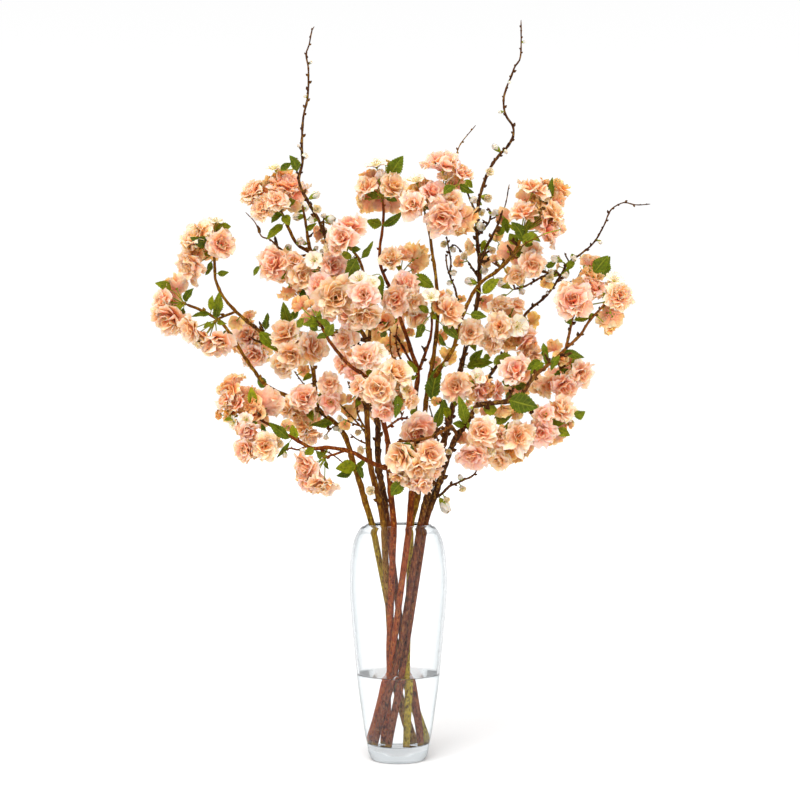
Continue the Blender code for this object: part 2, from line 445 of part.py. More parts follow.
# Sprays of blossom: each head grows from the end of a branch of a stem, and holds
# blossoms (x, z, radius, kind) round that end
SPRAYS = {
    "blossoms_upper_left": [("stem_far_left", "left_rise", [
        (-277, 713, 22, DOUBLE), (-242, 703, 18, DOUBLE), (-283, 673, 21, DOUBLE),
        (-250, 735, 11, SINGLE), (-270, 694, 15, FAR), (-245, 716, 15, FAR)])],
    "blossoms_far_left": [("stem_far_left", "left_arc", [
        (-318, 601, 24, DOUBLE), (-328, 624, 16, DOUBLE), (-305, 647, 16, AWAY),
        (-314, 612, 17, FAR)])],
    "blossoms_left_arc": [("stem_far_left", "arc_spur", [
        (-285, 587, 17, DOUBLE), (-248, 568, 20, DOUBLE), (-273, 567, 9, SINGLE)])],
    "blossoms_left_fork": [("stem_far_left", "fork_spur", [
        (-207, 575, 20, DOUBLE), (-204, 606, 9, FAR), (-196, 552, 17, DOUBLE),
        (-186, 558, 14, FAR), (-218, 565, 12, FAR)])],
    "blossoms_left_middle": [("stem_far_left", "middle_spur", [
        (-156, 581, 19.5, DOUBLE), (-115, 561, 19, DOUBLE), (-146, 551, 17, DOUBLE),
        (-157, 535, 15, DOUBLE), (-139, 577, 8, SINGLE)])],
    "blossoms_low_left": [
        ("stem_far_left", "low_spur", [
            (-128, 493, 19, DOUBLE), (-152, 479, 14, DOUBLE), (-130, 462, 13, AWAY),
            (-120, 444, 16, DOUBLE), (-118, 497, 9, SINGLE)]),
        ("stem_far_left", "low_right_spur", [
            (-94, 513, 14, DOUBLE), (-92, 487, 13, DOUBLE)]),
    ],
    "blossoms_top_left": [("stem_left", "crown", [
        (-150, 781, 23, DOUBLE), (-166, 765, 14, DOUBLE), (-200, 776, 16, DOUBLE),
        (-185, 753, 15, DOUBLE), (-168, 807, 13, SINGLE), (-175, 775, 17, FAR),
        (-148, 763, 15, FAR)])],
    "blossoms_upper_pair": [("stem_left", "middle_rise", [
        (-66, 729, 19, DOUBLE), (-78, 711, 17, DOUBLE), (-97, 697, 8, SINGLE),
        (-85, 696, 8, DOUBLE), (-70, 722, 15, FAR)])],
    "blossoms_left_shoulder": [
        ("stem_left", "shoulder_spur", [
            (-170, 677, 21, DOUBLE), (-143, 680, 13, DOUBLE), (-131, 660, 17, DOUBLE),
            (-158, 668, 14, FAR)]),
        ("stem_left", "shoulder_right_spur", [
            (-115, 681, 13, SINGLE), (-88, 673, 17, DOUBLE)]),
    ],
    "blossoms_crown_left": [
        ("stem_left", "crown_spur", [
            (-84, 630, 26, DOUBLE), (-107, 645, 17, DOUBLE), (-95, 605, 9, DOUBLE)]),
        ("stem_left", "crown_right_spur", [
            (-53, 655, 13, SINGLE), (-37, 650, 12, SINGLE), (-47, 634, 16, DOUBLE),
            (-45, 605, 20, DOUBLE), (-70, 600, 12, DOUBLE)]),
    ],
    "blossoms_shaded_left": [("stem_left", "dull_spur", [(-74, 573, 15, DOUBLE)])],
    "blossoms_heart_left": [("stem_left", "heart_spur", [
        (-45, 548, 17, DOUBLE), (-27, 557, 13, SINGLE), (-76, 541, 14, DOUBLE),
        (-60, 527, 12, DOUBLE)])],
    "blossoms_heart_front": [("stem_front_left", "front_spur", [
        (-3, 527, 19, DOUBLE), (-28, 505, 20, DOUBLE), (-55, 508, 13, DOUBLE),
        (10, 505, 13, SINGLE), (-17, 476, 14, DOUBLE), (17, 487, 10, DOUBLE)])],
    "blossom_calyxes_left": [("stem_front_left", "crown", [
        (-125, 602, 9, AWAY), (-112, 612, 7, AWAY)])],
    "blossoms_low_far_left": [("stem_front_left", "low_arm", [
        (-236, 488, 14, DOUBLE), (-228, 509, 17, AWAY), (-221, 487, 13, DOUBLE),
        (-183, 486, 21, AWAY), (-208, 463, 11, SINGLE), (-226, 459, 10, SINGLE),
        (-205, 448, 14, DOUBLE)])],
    "blossoms_low_pair": [("stem_front_left", "arm_spur", [
        (-208, 423, 15, DOUBLE), (-182, 427, 16, DOUBLE), (-163, 430, 8, SINGLE)])],
    "blossoms_hanging_left": [("stem_front_left", "hanging_twig", [
        (-125, 398, 18, DOUBLE), (-101, 375, 17, DOUBLE), (-127, 376, 12, DOUBLE)])],
    "blossom_nodding": [("stem_front_left", "hook_twig", [(27, 447, 21, DOUBLE)])],
    "blossoms_upper_middle": [("stem_centre", "crown", [
        (-44, 781, 16, DOUBLE), (-45, 763, 17, AWAY), (-5, 781, 18, DOUBLE),
        (-30, 812, 16, SINGLE), (-24, 796, 8, BUD), (-6, 762, 15, FAR)])],
    "blossoms_hanging_pair": [("stem_centre", "hanging_spur", [
        (-10, 684, 15, DOUBLE), (25, 687, 19, AWAY)])],
    "blossoms_crown_middle": [("stem_centre", "inner_spur", [
        (10, 651, 15, DOUBLE), (-3, 628, 18, DOUBLE), (22, 624, 14, DOUBLE),
        (27, 602, 15, DOUBLE)])],
    "blossoms_crown_right": [("stem_centre", "right_rise", [
        (45, 631, 13, SINGLE), (70, 612, 18, DOUBLE), (68, 635, 9, SINGLE)])],
    "blossoms_shaded_middle": [("stem_centre", "back_rise", [
        (-30, 588, 18, FAR), (-8, 602, 15, FAR)])],
    "blossoms_top_middle": [
        ("stem_olive", "crown", [
            (20, 757, 17, DOUBLE), (25, 790, 14, SINGLE), (47, 774, 17, DOUBLE),
            (35, 770, 15, FAR)]),
        ("stem_olive", "upper_fork", [
            (65, 793, 13, SINGLE), (60, 813, 22, DOUBLE), (88, 800, 14, DOUBLE),
            (73, 764, 14, DOUBLE), (60, 739, 21, DOUBLE), (90, 733, 19, AWAY)]),
    ],
    "blossoms_upper_right": [("stem_olive", "right_sweep", [
        (172, 746, 17, DOUBLE), (197, 765, 13, SINGLE), (212, 748, 18, DOUBLE),
        (185, 781, 17, DOUBLE), (221, 780, 13, AWAY), (206, 723, 19, DOUBLE),
        (190, 745, 16, FAR)])],
    "blossoms_right_bend": [("stem_olive", "sweep_spur", [
        (184, 695, 12, DOUBLE), (184, 675, 16, DOUBLE), (150, 697, 11, FAR),
        (162, 660, 13, DOUBLE)])],
    "blossoms_cabbage": [("stem_dark_right", "cabbage_spur", [
        (78, 508, 19, DOUBLE), (108, 521, 13, SINGLE), (114, 503, 15, DOUBLE),
        (136, 503, 12, DOUBLE)])],
    "blossom_shaded_right": [("stem_dark_right", "shaded_spur", [
        (99, 582, 16, DOUBLE)])],
    "blossoms_right_cluster": [("stem_dark_right", "right_cluster_spur", [
        (139, 590, 17, DOUBLE), (163, 591, 16, SINGLE), (176, 567, 18, DOUBLE),
        (181, 548, 15, DOUBLE), (128, 570, 16, DOUBLE), (141, 619, 15, DOUBLE),
        (160, 622, 13, DOUBLE)])],
    "blossoms_far_right": [
        ("stem_right", "right_fork", [
            (266, 645, 18, DOUBLE), (240, 626, 21, DOUBLE), (228, 643, 10, DOUBLE),
            (264, 679, 13, AWAY), (250, 640, 16, FAR)]),
        ("stem_right", "crown", [
            (296, 654, 14, SINGLE), (302, 632, 16, DOUBLE), (290, 604, 17, AWAY)]),
    ],
    "blossoms_right_fork": [("stem_right", "fork_spur", [
        (213, 561, 12, FAR), (196, 510, 17, FAR), (228, 509, 17, DOUBLE),
        (250, 525, 17, DOUBLE), (231, 531, 12, FAR)])],
    "blossoms_right_flat": [("stem_right", "flat_spur", [
        (160, 530, 21, DOUBLE), (161, 508, 16, FAR)])],
    "blossoms_lower_right": [("stem_right", "lower_right_spur", [
        (225, 477, 17, DOUBLE), (200, 469, 13, DOUBLE), (196, 446, 17, DOUBLE),
        (215, 441, 12, FAR)])],
    "blossoms_cup": [("stem_right", "cup_spur", [
        (115, 447, 17, DOUBLE), (101, 414, 19, DOUBLE), (127, 420, 9, SINGLE)])],
    "blossoms_low_right": [("stem_right", "side_spur", [
        (139, 440, 11, DOUBLE), (165, 439, 19, DOUBLE), (137, 409, 15, DOUBLE),
        (174, 425, 12, FAR)])],
    "blossoms_front_right": [("stem_right", "olive_spur", [
        (3, 412, 19, DOUBLE), (45, 415, 17, DOUBLE), (28, 395, 16, DOUBLE),
        (1, 383, 12, DOUBLE), (30, 375, 15, DOUBLE), (50, 393, 11, DOUBLE)])],
}

# Leaves on a spray, as on a stem, with the depth of the base behind its knob
SPRAY_LEAVES = {
    "blossoms_upper_left": [
        (-257, 707, -284, 710, 16, -24, -12), (-250, 724, -229, 727, 12, -2, 12),
    ],
    "blossoms_far_left": [
        (-311, 641, -333, 650, 12, -2, -10),
    ],
    "blossoms_left_shoulder": [
        (-190, 673, -199, 660, 7, -16, 2),
    ],
    "blossoms_upper_middle": [
        (-13, 794, 7, 824, 21, -4, -6),
    ],
    "blossoms_crown_middle": [
        (22, 661, 49, 643, 16, -10, 4),
    ],
    "blossoms_crown_right": [
        (61, 592, 82, 572, 13, -10, -4), (34, 594, 30, 577, 11, -6, -4),
    ],
    "blossoms_heart_front": [
        (-1, 497, -4, 465, 12, -14, -6),
    ],
    "blossoms_top_middle": [
        (84, 785, 103, 773, 10, -16, -6), (76, 783, 62, 770, 11, -32, -6),
    ],
    "blossoms_upper_right": [
        (211, 768, 210, 795, 9, -8, -4),
    ],
    "blossoms_far_right": [
        (268, 664, 287, 688, 18, -2, -6),
    ],
    "blossoms_lower_right": [
        (240, 469, 256, 475, 13, -4, -4), (218, 450, 235, 441, 13, -6, -4),
    ],
    "blossoms_low_far_left": [
        (-198, 481, -201, 508, 12, -6, -4), (-222, 468, -239, 462, 7, -6, -4),
    ],
    "blossoms_front_right": [
        (5, 430, 23, 411, 16, -22, -6), (6, 377, -10, 359, 17, -8, -2),
    ],
}


def seen(x, z, depth):
    """The point that lies at this depth and is seen at x, z on the plane of the vase."""
    grown = 1 + depth / EYE_DISTANCE
    return Vector((EYE_X + (x - EYE_X) * grown, depth, EYE_Z + (z - EYE_Z) * grown))


def fanned(points, lean):
    """A path through the crown, spread out in depth and leaning back above the mouth."""
    path = []
    for x, z, depth in points:
        rise = max(z - FAN_START, 0)
        share = min(rise / FAN_HEIGHT, 1)
        path.append(seen(x, z, depth * (1 + (FAN - 1) * share) + lean * rise))
    return thinned(path)


def skin(rings):
    """A closed solid through rings of points in millimetres, from its low end to its high end.

    A ring is one point or several, and the first points of neighbouring rings lie side
    by side. An end ring of several points gets a flat cap."""
    points = [tuple(point * MM) for ring in rings for point in ring]
    faces = []
    first = 0
    for lower, upper in zip(rings, rings[1:]):
        low, high = len(lower), len(upper)
        steps = [((k + 0.5) / low, False) for k in range(low) if low > 1]
        steps += [((k + 0.5) / high, True) for k in range(high) if high > 1]
        i = j = 0
        for _, on_upper in sorted(steps):
            corner = first + i % low
            above = first + low + j % high
            if on_upper:
                j += 1
                faces.append((corner, first + low + j % high, above))
            else:
                i += 1
                faces.append((corner, first + i % low, above))
        first += low
    if len(rings[0]) > 1:
        faces.append(list(range(len(rings[0])))[::-1])
    if len(rings[-1]) > 1:
        faces.append([first + k for k in range(len(rings[-1]))])
    mesh = bpy.data.meshes.new("piece")
    mesh.from_pydata(points, [], faces)
    piece = bpy.data.objects.new("piece", mesh)
    bpy.context.scene.collection.objects.link(piece)
    return piece


def flat(point):
    """Where a point is seen on the plane of the vase."""
    grown = 1 + point.y / EYE_DISTANCE
    return Vector((EYE_X + (point.x - EYE_X) / grown, EYE_Z + (point.z - EYE_Z) / grown))


def side_of(direction):
    """A unit vector square to the direction."""
    across = BACK if abs(direction.y) < 0.9 * direction.length else RIGHT
    return direction.cross(across).normalized()


def polygon(centre, side, other, radius, sides):
    """Points round a centre, in the plane of two unit vectors."""
    turns = [math.tau * k / sides for k in range(sides)]
    return [centre + (side * math.cos(turn) + other * math.sin(turn)) * radius for turn in turns]


def tube(path, radii, sides):
    """A round bar along a path, with flat ends square to it."""
    rings = []
    side = side_of(path[1] - path[0])
    for i, centre in enumerate(path):
        ahead = path[min(i + 1, len(path) - 1)] - centre
        behind = centre - path[max(i - 1, 0)]
        along = (ahead.normalized() + behind.normalized()).normalized()
        side = (side - along * side.dot(along)).normalized()
        rings.append(polygon(centre, side, along.cross(side), radii[i], sides))
    return skin(rings)


def thinned(path):
    """The path without the points that it would pass within a small distance of anyway."""
    if len(path) < 3:
        return path
    span = path[-1] - path[0]
    offsets = [(point - path[0]).cross(span).length / span.length for point in path]
    furthest = max(offsets)
    if furthest < SLACK:
        return [path[0], path[-1]]
    bend = offsets.index(furthest)
    return thinned(path[:bend + 1])[:-1] + thinned(path[bend:])


def tapered(path, start, end):
    """Radii along a path that narrow evenly with its length."""
    gone = [0.0]
    for before, after in zip(path, path[1:]):
        gone.append(gone[-1] + (after - before).length)
    return [start + (end - start) * part / gone[-1] for part in gone]


def tiers(kind, radius):
    """The rings of a blossom, from its underside up, as parts of its radius.

    Each ring lists (reach, height) for the points of one of its five petals."""
    outer = [(1.12, 0.18), (0.92, 0)]
    if kind == BUD:
        return -1.1, [[(0.85, 0)]], 1.2
    if kind == SINGLE or radius < SMALL_BLOSSOM:
        return -0.3, [[(1.1, 0.2), (0.78, 0.04)]], 0.1
    if kind == FAR or radius < LARGE_BLOSSOM:
        return -0.45, [outer, [(0.5, 0.34)]], 0.16
    return -0.45, [outer, [(0.55, 0.12)], [(0.48, 0.30), (0.68, 0.42)]], 0.14


def stalk(root, neck, along, side):
    """The two end rings of a thin stalk that runs up into something with its own heading."""
    way = (neck - root).normalized()
    rings = []
    for place, heading in ((neck, (way + along).normalized()), (root, way)):
        side = (side - heading * side.dot(heading)).normalized()
        rings.append(polygon(place, side, heading.cross(side), STALK_RADIUS, 3))
    return rings[::-1]


def blossom(kind, centre, facing, radius, turn, root):
    """One blossom or bud, opening along its facing, on a stalk where its root lies apart."""
    along = facing.normalized()
    square = side_of(along)
    side = square * math.cos(turn) + along.cross(square) * math.sin(turn)
    other = along.cross(side)
    low, shapes, high = tiers(kind, radius)
    neck = centre + along * low * radius
    rings = [[neck]]
    if (neck - root).dot(along) > 0:
        rings = stalk(root, neck, along, side)
    for shape in shapes:
        ring = []
        for k in range(5 * len(shape)):
            reach, height = shape[k % len(shape)]
            angle = math.tau * k / (5 * len(shape))
            across = side * math.cos(angle) + other * math.sin(angle)
            ring.append(centre + (across * reach + along * height) * radius)
        rings.append(ring)
    rings.append([centre + along * high * radius])
    return skin(rings)


def leaf(root, base, tip, width):
    """A pointed blade on a thin stalk, with a flat upper face and a keel along its rib."""
    along = tip - base
    across = along.cross(BACK).normalized()
    over = across.cross(along).normalized()
    rings = stalk(root, base, along.normalized(), -over)
    bellies = [(0.5, 1.0)] if width < NARROW_LEAF else [(0.32, 0.95), (0.66, 0.8)]
    for part, breadth in bellies:
        rib = base + along * part - over * along.length * LEAF_SAG
        edge = across * breadth * width / 2
        rings.append([rib - over * LEAF_THICKNESS, rib - edge, rib + edge])
    return skin(rings + [[tip]])


def nearest(paths, x, z):
    """The point of the paths that is seen nearest to x, z."""
    found = []
    for path in paths:
        for start, end in zip(path, path[1:]):
            span = flat(end) - flat(start)
            offset = Vector((x, z)) - flat(start)
            part = min(max(offset.dot(span) / max(span.length_squared, LEAST_SPAN), 0), 1)
            found.append(((offset - span * part).length, tuple(start.lerp(end, part))))
    return Vector(min(found)[1])


def leaves_from(paths, leaves):
    """Leaves on short stalks that grow from the nearest point of the paths."""
    pieces = []
    for x0, z0, x1, z1, width, rise, lean in leaves:
        root = nearest(paths, x0, z0)
        base = seen(x0, z0, root.y + rise)
        pieces.append(leaf(root, base, seen(x1, z1, base.y + lean), width))
    return pieces


def joined(name, pieces):
    """One solid from pieces that overlap."""
    body = pieces[0]
    others = bpy.data.collections.new(name + "_pieces")
    bpy.context.scene.collection.children.link(others)
    for piece in pieces[1:]:
        others.objects.link(piece)
    union = body.modifiers.new("Join", "BOOLEAN")
    union.operation = "UNION"
    union.operand_type = "COLLECTION"
    union.collection = others
    union.solver = "MANIFOLD"
    bpy.context.view_layer.update()
    evaluated = body.evaluated_get(bpy.context.evaluated_depsgraph_get())
    whole = bpy.data.meshes.new_from_object(evaluated)
    whole.shade_smooth()
    whole.set_sharp_from_angle(angle=CREASE_ANGLE)
    body.modifiers.remove(union)
    body.data = whole
    body.name = name
    whole.name = name
    for piece in pieces[1:]:
        bpy.data.objects.remove(piece)
    bpy.data.collections.remove(others)
    return body


def painted(piece, colour, roughness, transmission=0.0):
    """The piece with its own material."""
    material = bpy.data.materials.new(piece.name)
    material.use_nodes = True
    shader = material.node_tree.nodes["Principled BSDF"]
    shader.inputs["Base Color"].default_value = colour
    shader.inputs["Roughness"].default_value = roughness
    shader.inputs["Metallic"].default_value = 0
    shader.inputs["Transmission Weight"].default_value = transmission
    piece.data.materials.clear()
    piece.data.materials.append(material)


def turned(name, profile):
    """A solid turned about Z from a profile of (radius, height), top to bottom outside."""
    mesh = bpy.data.meshes.new(name)
    points = [(radius * MM, 0, height * MM) for radius, height in profile]
    mesh.from_pydata(points, [(i, i + 1) for i in range(len(points) - 1)], [])
    piece = bpy.data.objects.new(name, mesh)
    bpy.context.scene.collection.objects.link(piece)
    screw = piece.modifiers.new("Turn", "SCREW")
    screw.steps = VASE_SIDES
    screw.render_steps = VASE_SIDES
    screw.use_merge_vertices = True
    screw.merge_threshold = 0.00001
    return piece


def outer_profile():
    """The outside of the vase, rim to foot: a round shoulder over a long taper."""
    rise = VASE_HEIGHT - BELLY_HEIGHT + 1
    bulge = BELLY_RADIUS - SHOULDER_CENTRE
    outline = [(RIM_RADIUS, VASE_HEIGHT)]
    for turn in (58, 30, 0):
        angle = math.radians(turn)
        radius = SHOULDER_CENTRE + bulge * math.cos(angle)
        outline.append((radius, BELLY_HEIGHT + rise * math.sin(angle)))
    return outline + BODY_POINTS + [(FOOT_RADIUS, HEEL_HEIGHT), (FOOT_RADIUS - FOOT_EDGE, 0)]


def inner_profile():
    """The inside of the vase, mouth to the solid glass of its base."""
    inside = [(radius - WALL, height) for radius, height in outer_profile()[1:-2]]
    return [(MOUTH_RADIUS, VASE_HEIGHT)] + inside + [(BASE_RADIUS_INSIDE, BASE_THICKNESS)]


def make_vase():
    """The glass vase, thick at its base and open at its mouth."""
    profile = [(0, BASE_THICKNESS)] + inner_profile()[::-1] + outer_profile() + [(0, 0)]
    vase = turned("vase", profile)
    painted(vase, GLASS_GREY, 0.05, 1.0)


def radius_inside(height):
    """The inner radius of the vase at a height below its belly."""
    (upper, top), (lower, bottom) = BODY_POINTS
    return lower + (upper - lower) * (height - bottom) / (top - bottom) - WALL


def make_water(stem_paths):
    """The water, which stops short of the glass and has a hole round each stem."""
    gap = CLEARANCE / math.cos(math.pi / VASE_SIDES)
    low_radius, low_height = BODY_POINTS[-1]
    water = turned("water", [
        (0, WATER_HEIGHT),
        (radius_inside(WATER_HEIGHT) - gap, WATER_HEIGHT),
        (low_radius - WALL - gap, low_height),
        (BASE_RADIUS_INSIDE - gap, BASE_THICKNESS + gap),
        (0, BASE_THICKNESS + gap),
    ])
    cutters = bpy.data.collections.new("stem_holes")
    bpy.context.scene.collection.children.link(cutters)
    hole_radius = STEM_RADIUS + CLEARANCE / math.cos(math.pi / STEM_SIDES)
    for name, paths in stem_paths.items():
        foot, waist = paths["crown"][:2]
        below = foot - (waist - foot).normalized() * HOLE_DEPTH_BELOW_FOOT
        hole = tube([below, waist], [hole_radius] * 2, STEM_SIDES)
        hole.name = name + "_hole"
        hole.hide_render = True
        hole.display_type = "WIRE"
        bpy.context.scene.collection.objects.unlink(hole)
        cutters.objects.link(hole)
    cut = water.modifiers.new("Stem holes", "BOOLEAN")
    cut.operation = "DIFFERENCE"
    cut.operand_type = "COLLECTION"
    cut.collection = cutters
    painted(water, WATER_BLUE, 0.05, 1.0)


def standing_path(stem):
    """A stem's path from the base of the vase, through the waist, to the mouth."""
    waist = math.radians(stem["turn"])
    foot = math.radians(stem["turn"] + FOOT_TURN)
    mouth = Vector((*stem["mouth"], VASE_HEIGHT))
    return [
        Vector((math.cos(foot), math.sin(foot), 0)) * STEM_FOOT_RING + UP * STEM_FOOT_HEIGHT,
        Vector((math.cos(waist), math.sin(waist), 0)) * WAIST_RING + UP * WAIST_HEIGHT,
        mouth,
    ]


def make_stem(name, stem):
    """A stem with its branches, twigs, leaves and small blossoms as one solid."""
    crown = fanned(stem["crown"], stem["lean"])
    paths = {"crown": standing_path(stem) + crown}
    radii = tapered(paths["crown"][2:], STEM_RADIUS, stem["end"])
    pieces = [tube(paths["crown"], [STEM_RADIUS] * 2 + radii, STEM_SIDES)]
    for branch, (start, end, sides, points) in stem["branches"].items():
        paths[branch] = fanned(points, stem["lean"])
        pieces.append(tube(paths[branch], tapered(paths[branch], start, end), sides))
    wood = list(paths.values())
    wood[0] = wood[0][2:]
    for k, (x, z, rise, radius, kind) in enumerate(STUDS.get(name, [])):
        root = nearest(wood, x, z)
        centre = seen(x, z, root.y + rise)
        facing = centre - root - BACK * radius / 2
        pieces.append(blossom(kind, centre, facing, radius, k * GOLDEN_ANGLE, root))
    pieces += leaves_from(wood, STEM_LEAVES.get(name, []))
    piece = joined(name, pieces)
    painted(piece, stem["bark"], 0.8)
    return paths


def make_head(path, blossoms, first_turn):
    """The knob at the end of a branch, with blossoms on stalks all round it."""
    tip = path[-1]
    along = (tip - path[-2]).normalized()
    start = tip + along * CLEARANCE
    core = start + along * KNOB_LENGTH / 2
    knob = [start, start + along * KNOB_LENGTH]
    pieces = [tube(knob, [KNOB_START_RADIUS, KNOB_END_RADIUS], TWIG_SIDES)]
    for k, (x, z, radius, kind) in enumerate(blossoms):
        aside = seen(x, z, tip.y) - core
        aside.y = 0
        rise = math.sqrt(max(REACH ** 2 - aside.length_squared, (LEAST_RISE * REACH) ** 2))
        back = {FAR: 1, AWAY: 0.5}.get(kind, -1)
        centre = seen(x, z, tip.y + back * rise)
        facing = centre - core + BACK * math.copysign(REACH / 2, back)
        turn = (first_turn + k) * GOLDEN_ANGLE
        pieces.append(blossom(kind, centre, facing, radius, turn, core))
    return pieces, core


def make_spray(name, heads, stem_paths):
    """A spray of blossoms and leaves as one solid."""
    pieces = []
    cores = []
    for stem, branch, blossoms in heads:
        more, core = make_head(stem_paths[stem][branch], blossoms, len(pieces))
        pieces += more
        cores.append(core)
    if len(cores) == 2:
        pieces.append(tube(cores, [STALK_RADIUS] * 2, TWIG_SIDES))
    pieces += leaves_from([[core, core + UP] for core in cores], SPRAY_LEAVES.get(name, []))
    spray = joined(name, pieces)
    painted(spray, PEACH, 0.7)


def main():
    """The vase, the stems that stand in it, the water round them and the blossoms."""
    for old in list(bpy.data.objects):
        bpy.data.objects.remove(old)
    make_vase()
    stem_paths = {name: make_stem(name, stem) for name, stem in STEMS.items()}
    make_water(stem_paths)
    for name, heads in SPRAYS.items():
        make_spray(name, heads, stem_paths)


main()
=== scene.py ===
"""The looks of the cut branches of peach blossom in their glass vase of water.

Every branch, spray and vessel of the frame is replaced by finer pieces of the same
form, laid out by the same tables. Points are worked out in millimetres, +Z up, with
the viewer at -Y, and written to the meshes in metres.
"""

import itertools
import math

import bpy
import numpy as np
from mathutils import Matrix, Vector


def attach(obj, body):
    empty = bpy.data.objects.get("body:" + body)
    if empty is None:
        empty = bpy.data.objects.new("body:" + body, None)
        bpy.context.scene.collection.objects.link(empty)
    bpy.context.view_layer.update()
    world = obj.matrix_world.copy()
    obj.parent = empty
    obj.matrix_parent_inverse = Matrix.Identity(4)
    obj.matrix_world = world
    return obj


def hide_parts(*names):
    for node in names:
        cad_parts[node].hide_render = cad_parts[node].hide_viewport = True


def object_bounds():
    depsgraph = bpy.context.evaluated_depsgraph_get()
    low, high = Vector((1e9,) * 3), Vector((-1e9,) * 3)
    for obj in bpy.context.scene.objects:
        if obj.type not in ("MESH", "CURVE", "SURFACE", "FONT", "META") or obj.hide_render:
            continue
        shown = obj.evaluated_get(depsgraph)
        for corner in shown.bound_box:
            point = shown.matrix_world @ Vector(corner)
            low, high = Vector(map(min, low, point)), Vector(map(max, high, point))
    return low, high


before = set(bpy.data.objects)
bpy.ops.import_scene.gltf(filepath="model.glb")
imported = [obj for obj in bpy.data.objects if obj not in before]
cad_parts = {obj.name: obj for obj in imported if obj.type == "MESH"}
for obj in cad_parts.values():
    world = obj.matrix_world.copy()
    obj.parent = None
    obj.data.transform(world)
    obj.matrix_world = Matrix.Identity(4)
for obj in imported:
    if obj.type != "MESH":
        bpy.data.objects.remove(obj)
cad_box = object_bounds()

MM = 0.001
cad_low, cad_high = (np.array(corner) / MM for corner in cad_box)
UP = np.array([0.0, 0.0, 1.0])
BACK = np.array([0.0, 1.0, 0.0])
RIGHT = np.array([1.0, 0.0, 0.0])
SEED = 11

# The vase, in millimetres: the outside from the foot to the rim, the hollow under its
# base (both as radius and height), the inner wall from where it leaves the base, how far
# glass and water are set in from it there, and how high and how far out the water climbs
VASE_HEIGHT = 320
VASE_OUTSIDE = [
    (40.5, 7.7), (42.9, 21.7), (45.9, 35.7), (50, 63.6), (54, 91.5), (56.7, 113.8),
    (60, 147), (62.6, 175), (64.5, 196), (66.4, 220), (67, 243), (66.2, 265), (64, 284),
    (60, 300), (54.2, 312), (49.5, 317.2)]
PUNT = [(0, 2.6), (8, 2.5), (16, 2.0), (23, 1.1), (28, 0.2), (30, 0)]
FOOT_RADIUS = 39.2
FOOT_EDGE = 4
FOOT_ROUNDING = 2.6
RIM_RADIUS = 45.5
MOUTH_RADIUS = 42.5
BASE_THICKNESS = 21
WALL = 3.4
VASE_SIDES = 120
WATER_HEIGHT = 116
WATER_LAP = 0.15
INNER_LOW = 26
INNER_HIGH = 313
GLASS_INSETS = [(1.2, 23.4), (3.4, 21.7), (7, BASE_THICKNESS)]
WATER_INSETS = [(7, BASE_THICKNESS - WATER_LAP), (3.4, 21.6), (1.1, 23.4)]
GLASS_CLIMB = (1.5, 1.6)
STEM_CLIMB = (1.1, 1.5)

# The stems where they stand in the vase, in millimetres and degrees
STEM_RADIUS = 4.3
STEM_FOOT_RING = 29
STEM_FOOT_HEIGHT = 22.6
STEM_STEP = 5
TWIG_STEP = 3
WAIST_RING = 12.5
WAIST_HEIGHT = 150
FOOT_TURN = -80
# Along a stem's height, how much it takes of the brighter bark inside the vase: wet bark and painted light
# in the water, painted light alone higher in the vase, none above it
WET_AND_LIT_HEIGHTS = (116, 140, 290, 350)
WET_AND_LIT_SHARES = (1, 0.55, 0.55, 0)

# The viewer's eye, and how the crown spreads in depth, in millimetres
EYE_X = 2.2
EYE_Z = 490
EYE_DISTANCE = 2250
FAN = 2.3
FAN_START = 345
FAN_HEIGHT = 130

# Blossoms and leaves, in millimetres or as parts of a radius: how far a blossom stands
# off the middle of its spray, the knob and stalks that hold it, the cup behind it, the
# radii that divide the sorts, the leaves, and how much fuller they are than plain ones
REACH = 30
LEAST_RISE = 0.3
CLEARANCE = 0.3
KNOB_LENGTH = 6
KNOB_STEPS = [0, 1.5, 4, 6.5]
KNOB_RADII = [2.1, 2.5, 2.8, 1.6]
STALK_RADII = (0.95, 0.75)
CALYX_HEIGHTS = np.array([-0.9, -0.5, 0.1, 1.0, 1.9])
CALYX_WIDTHS = np.array([0.45, 0.85, 1.1, 1.15, 0.7])
WHORL_TURN = 0.62
LOOSENESS = 0.22
HALF_OPEN = 10
SMALL_BLOSSOM = 13.5
LARGE_BLOSSOM = 20
GOLDEN_ANGLE = math.radians(137.5)
LEAF_SAG = 0.06
LEAF_TEETH = 11
SMALL_LEAF = 26
SMALL_LEAF_TEETH = 8
SMALL_LEAVES = 3
FULLNESS = 1.2
RUFFLE = 1.3
BUD_GROWTH = 1.35
BUD_LOW = -1.0
SPREAD = np.array([1.02, 0.84])
# Painted shade, with some of the duller colour of petal backs, on blossoms behind a spray or turned away
DULLNESS_AND_SHADE = 0.7
SHADED_DEPTH = 12

# Filling blossoms: how near two blossoms are that have one between them, its part of
# their radii, its least and largest radius, and how clear it stands of the others
FILL_NEAR = 1.5
FILL_SHARE = 0.42
FILL_RADII = (9, 14)
FILL_GAP = 0.55

# The joints of dark and of plain wood: how far apart, and the least and most swelling.
# Branches thinner than a bare twig have dark joints on any stem
BARE_TWIG = 1.45
DARK_JOINTS = (10, 0.16, 0.42)
PLAIN_JOINTS = (22, 0.06, 0.18)
DARK_BUD_WIDTHS = np.array([0.7, 1, 0.95, 0.6, 0.15])

# The floor, the room, the lamps (strength, spread and turn in degrees) and the camera,
# in metres where not said otherwise
FLOOR_SIDES = 96
FLOOR_RADIUS = 30.0
FLOOR_DROP = 0.0003
FLOOR_GREY = 0.90
FLOOR_VARIATION = 0.03
ROOM_GREYS = [(0.10, 1.0), (0.9, 0.66)]
ROOM_STRENGTH = 1.05
LAMPS = [("key", 2.4, 50, (42, 0, -24)), ("fill", 0.9, 70, (66, 0, 44))]
LENS = 74.0
SENSOR_WIDTH = 36
CAMERA_PLACE = (0.0024, -2.25, 0.490)

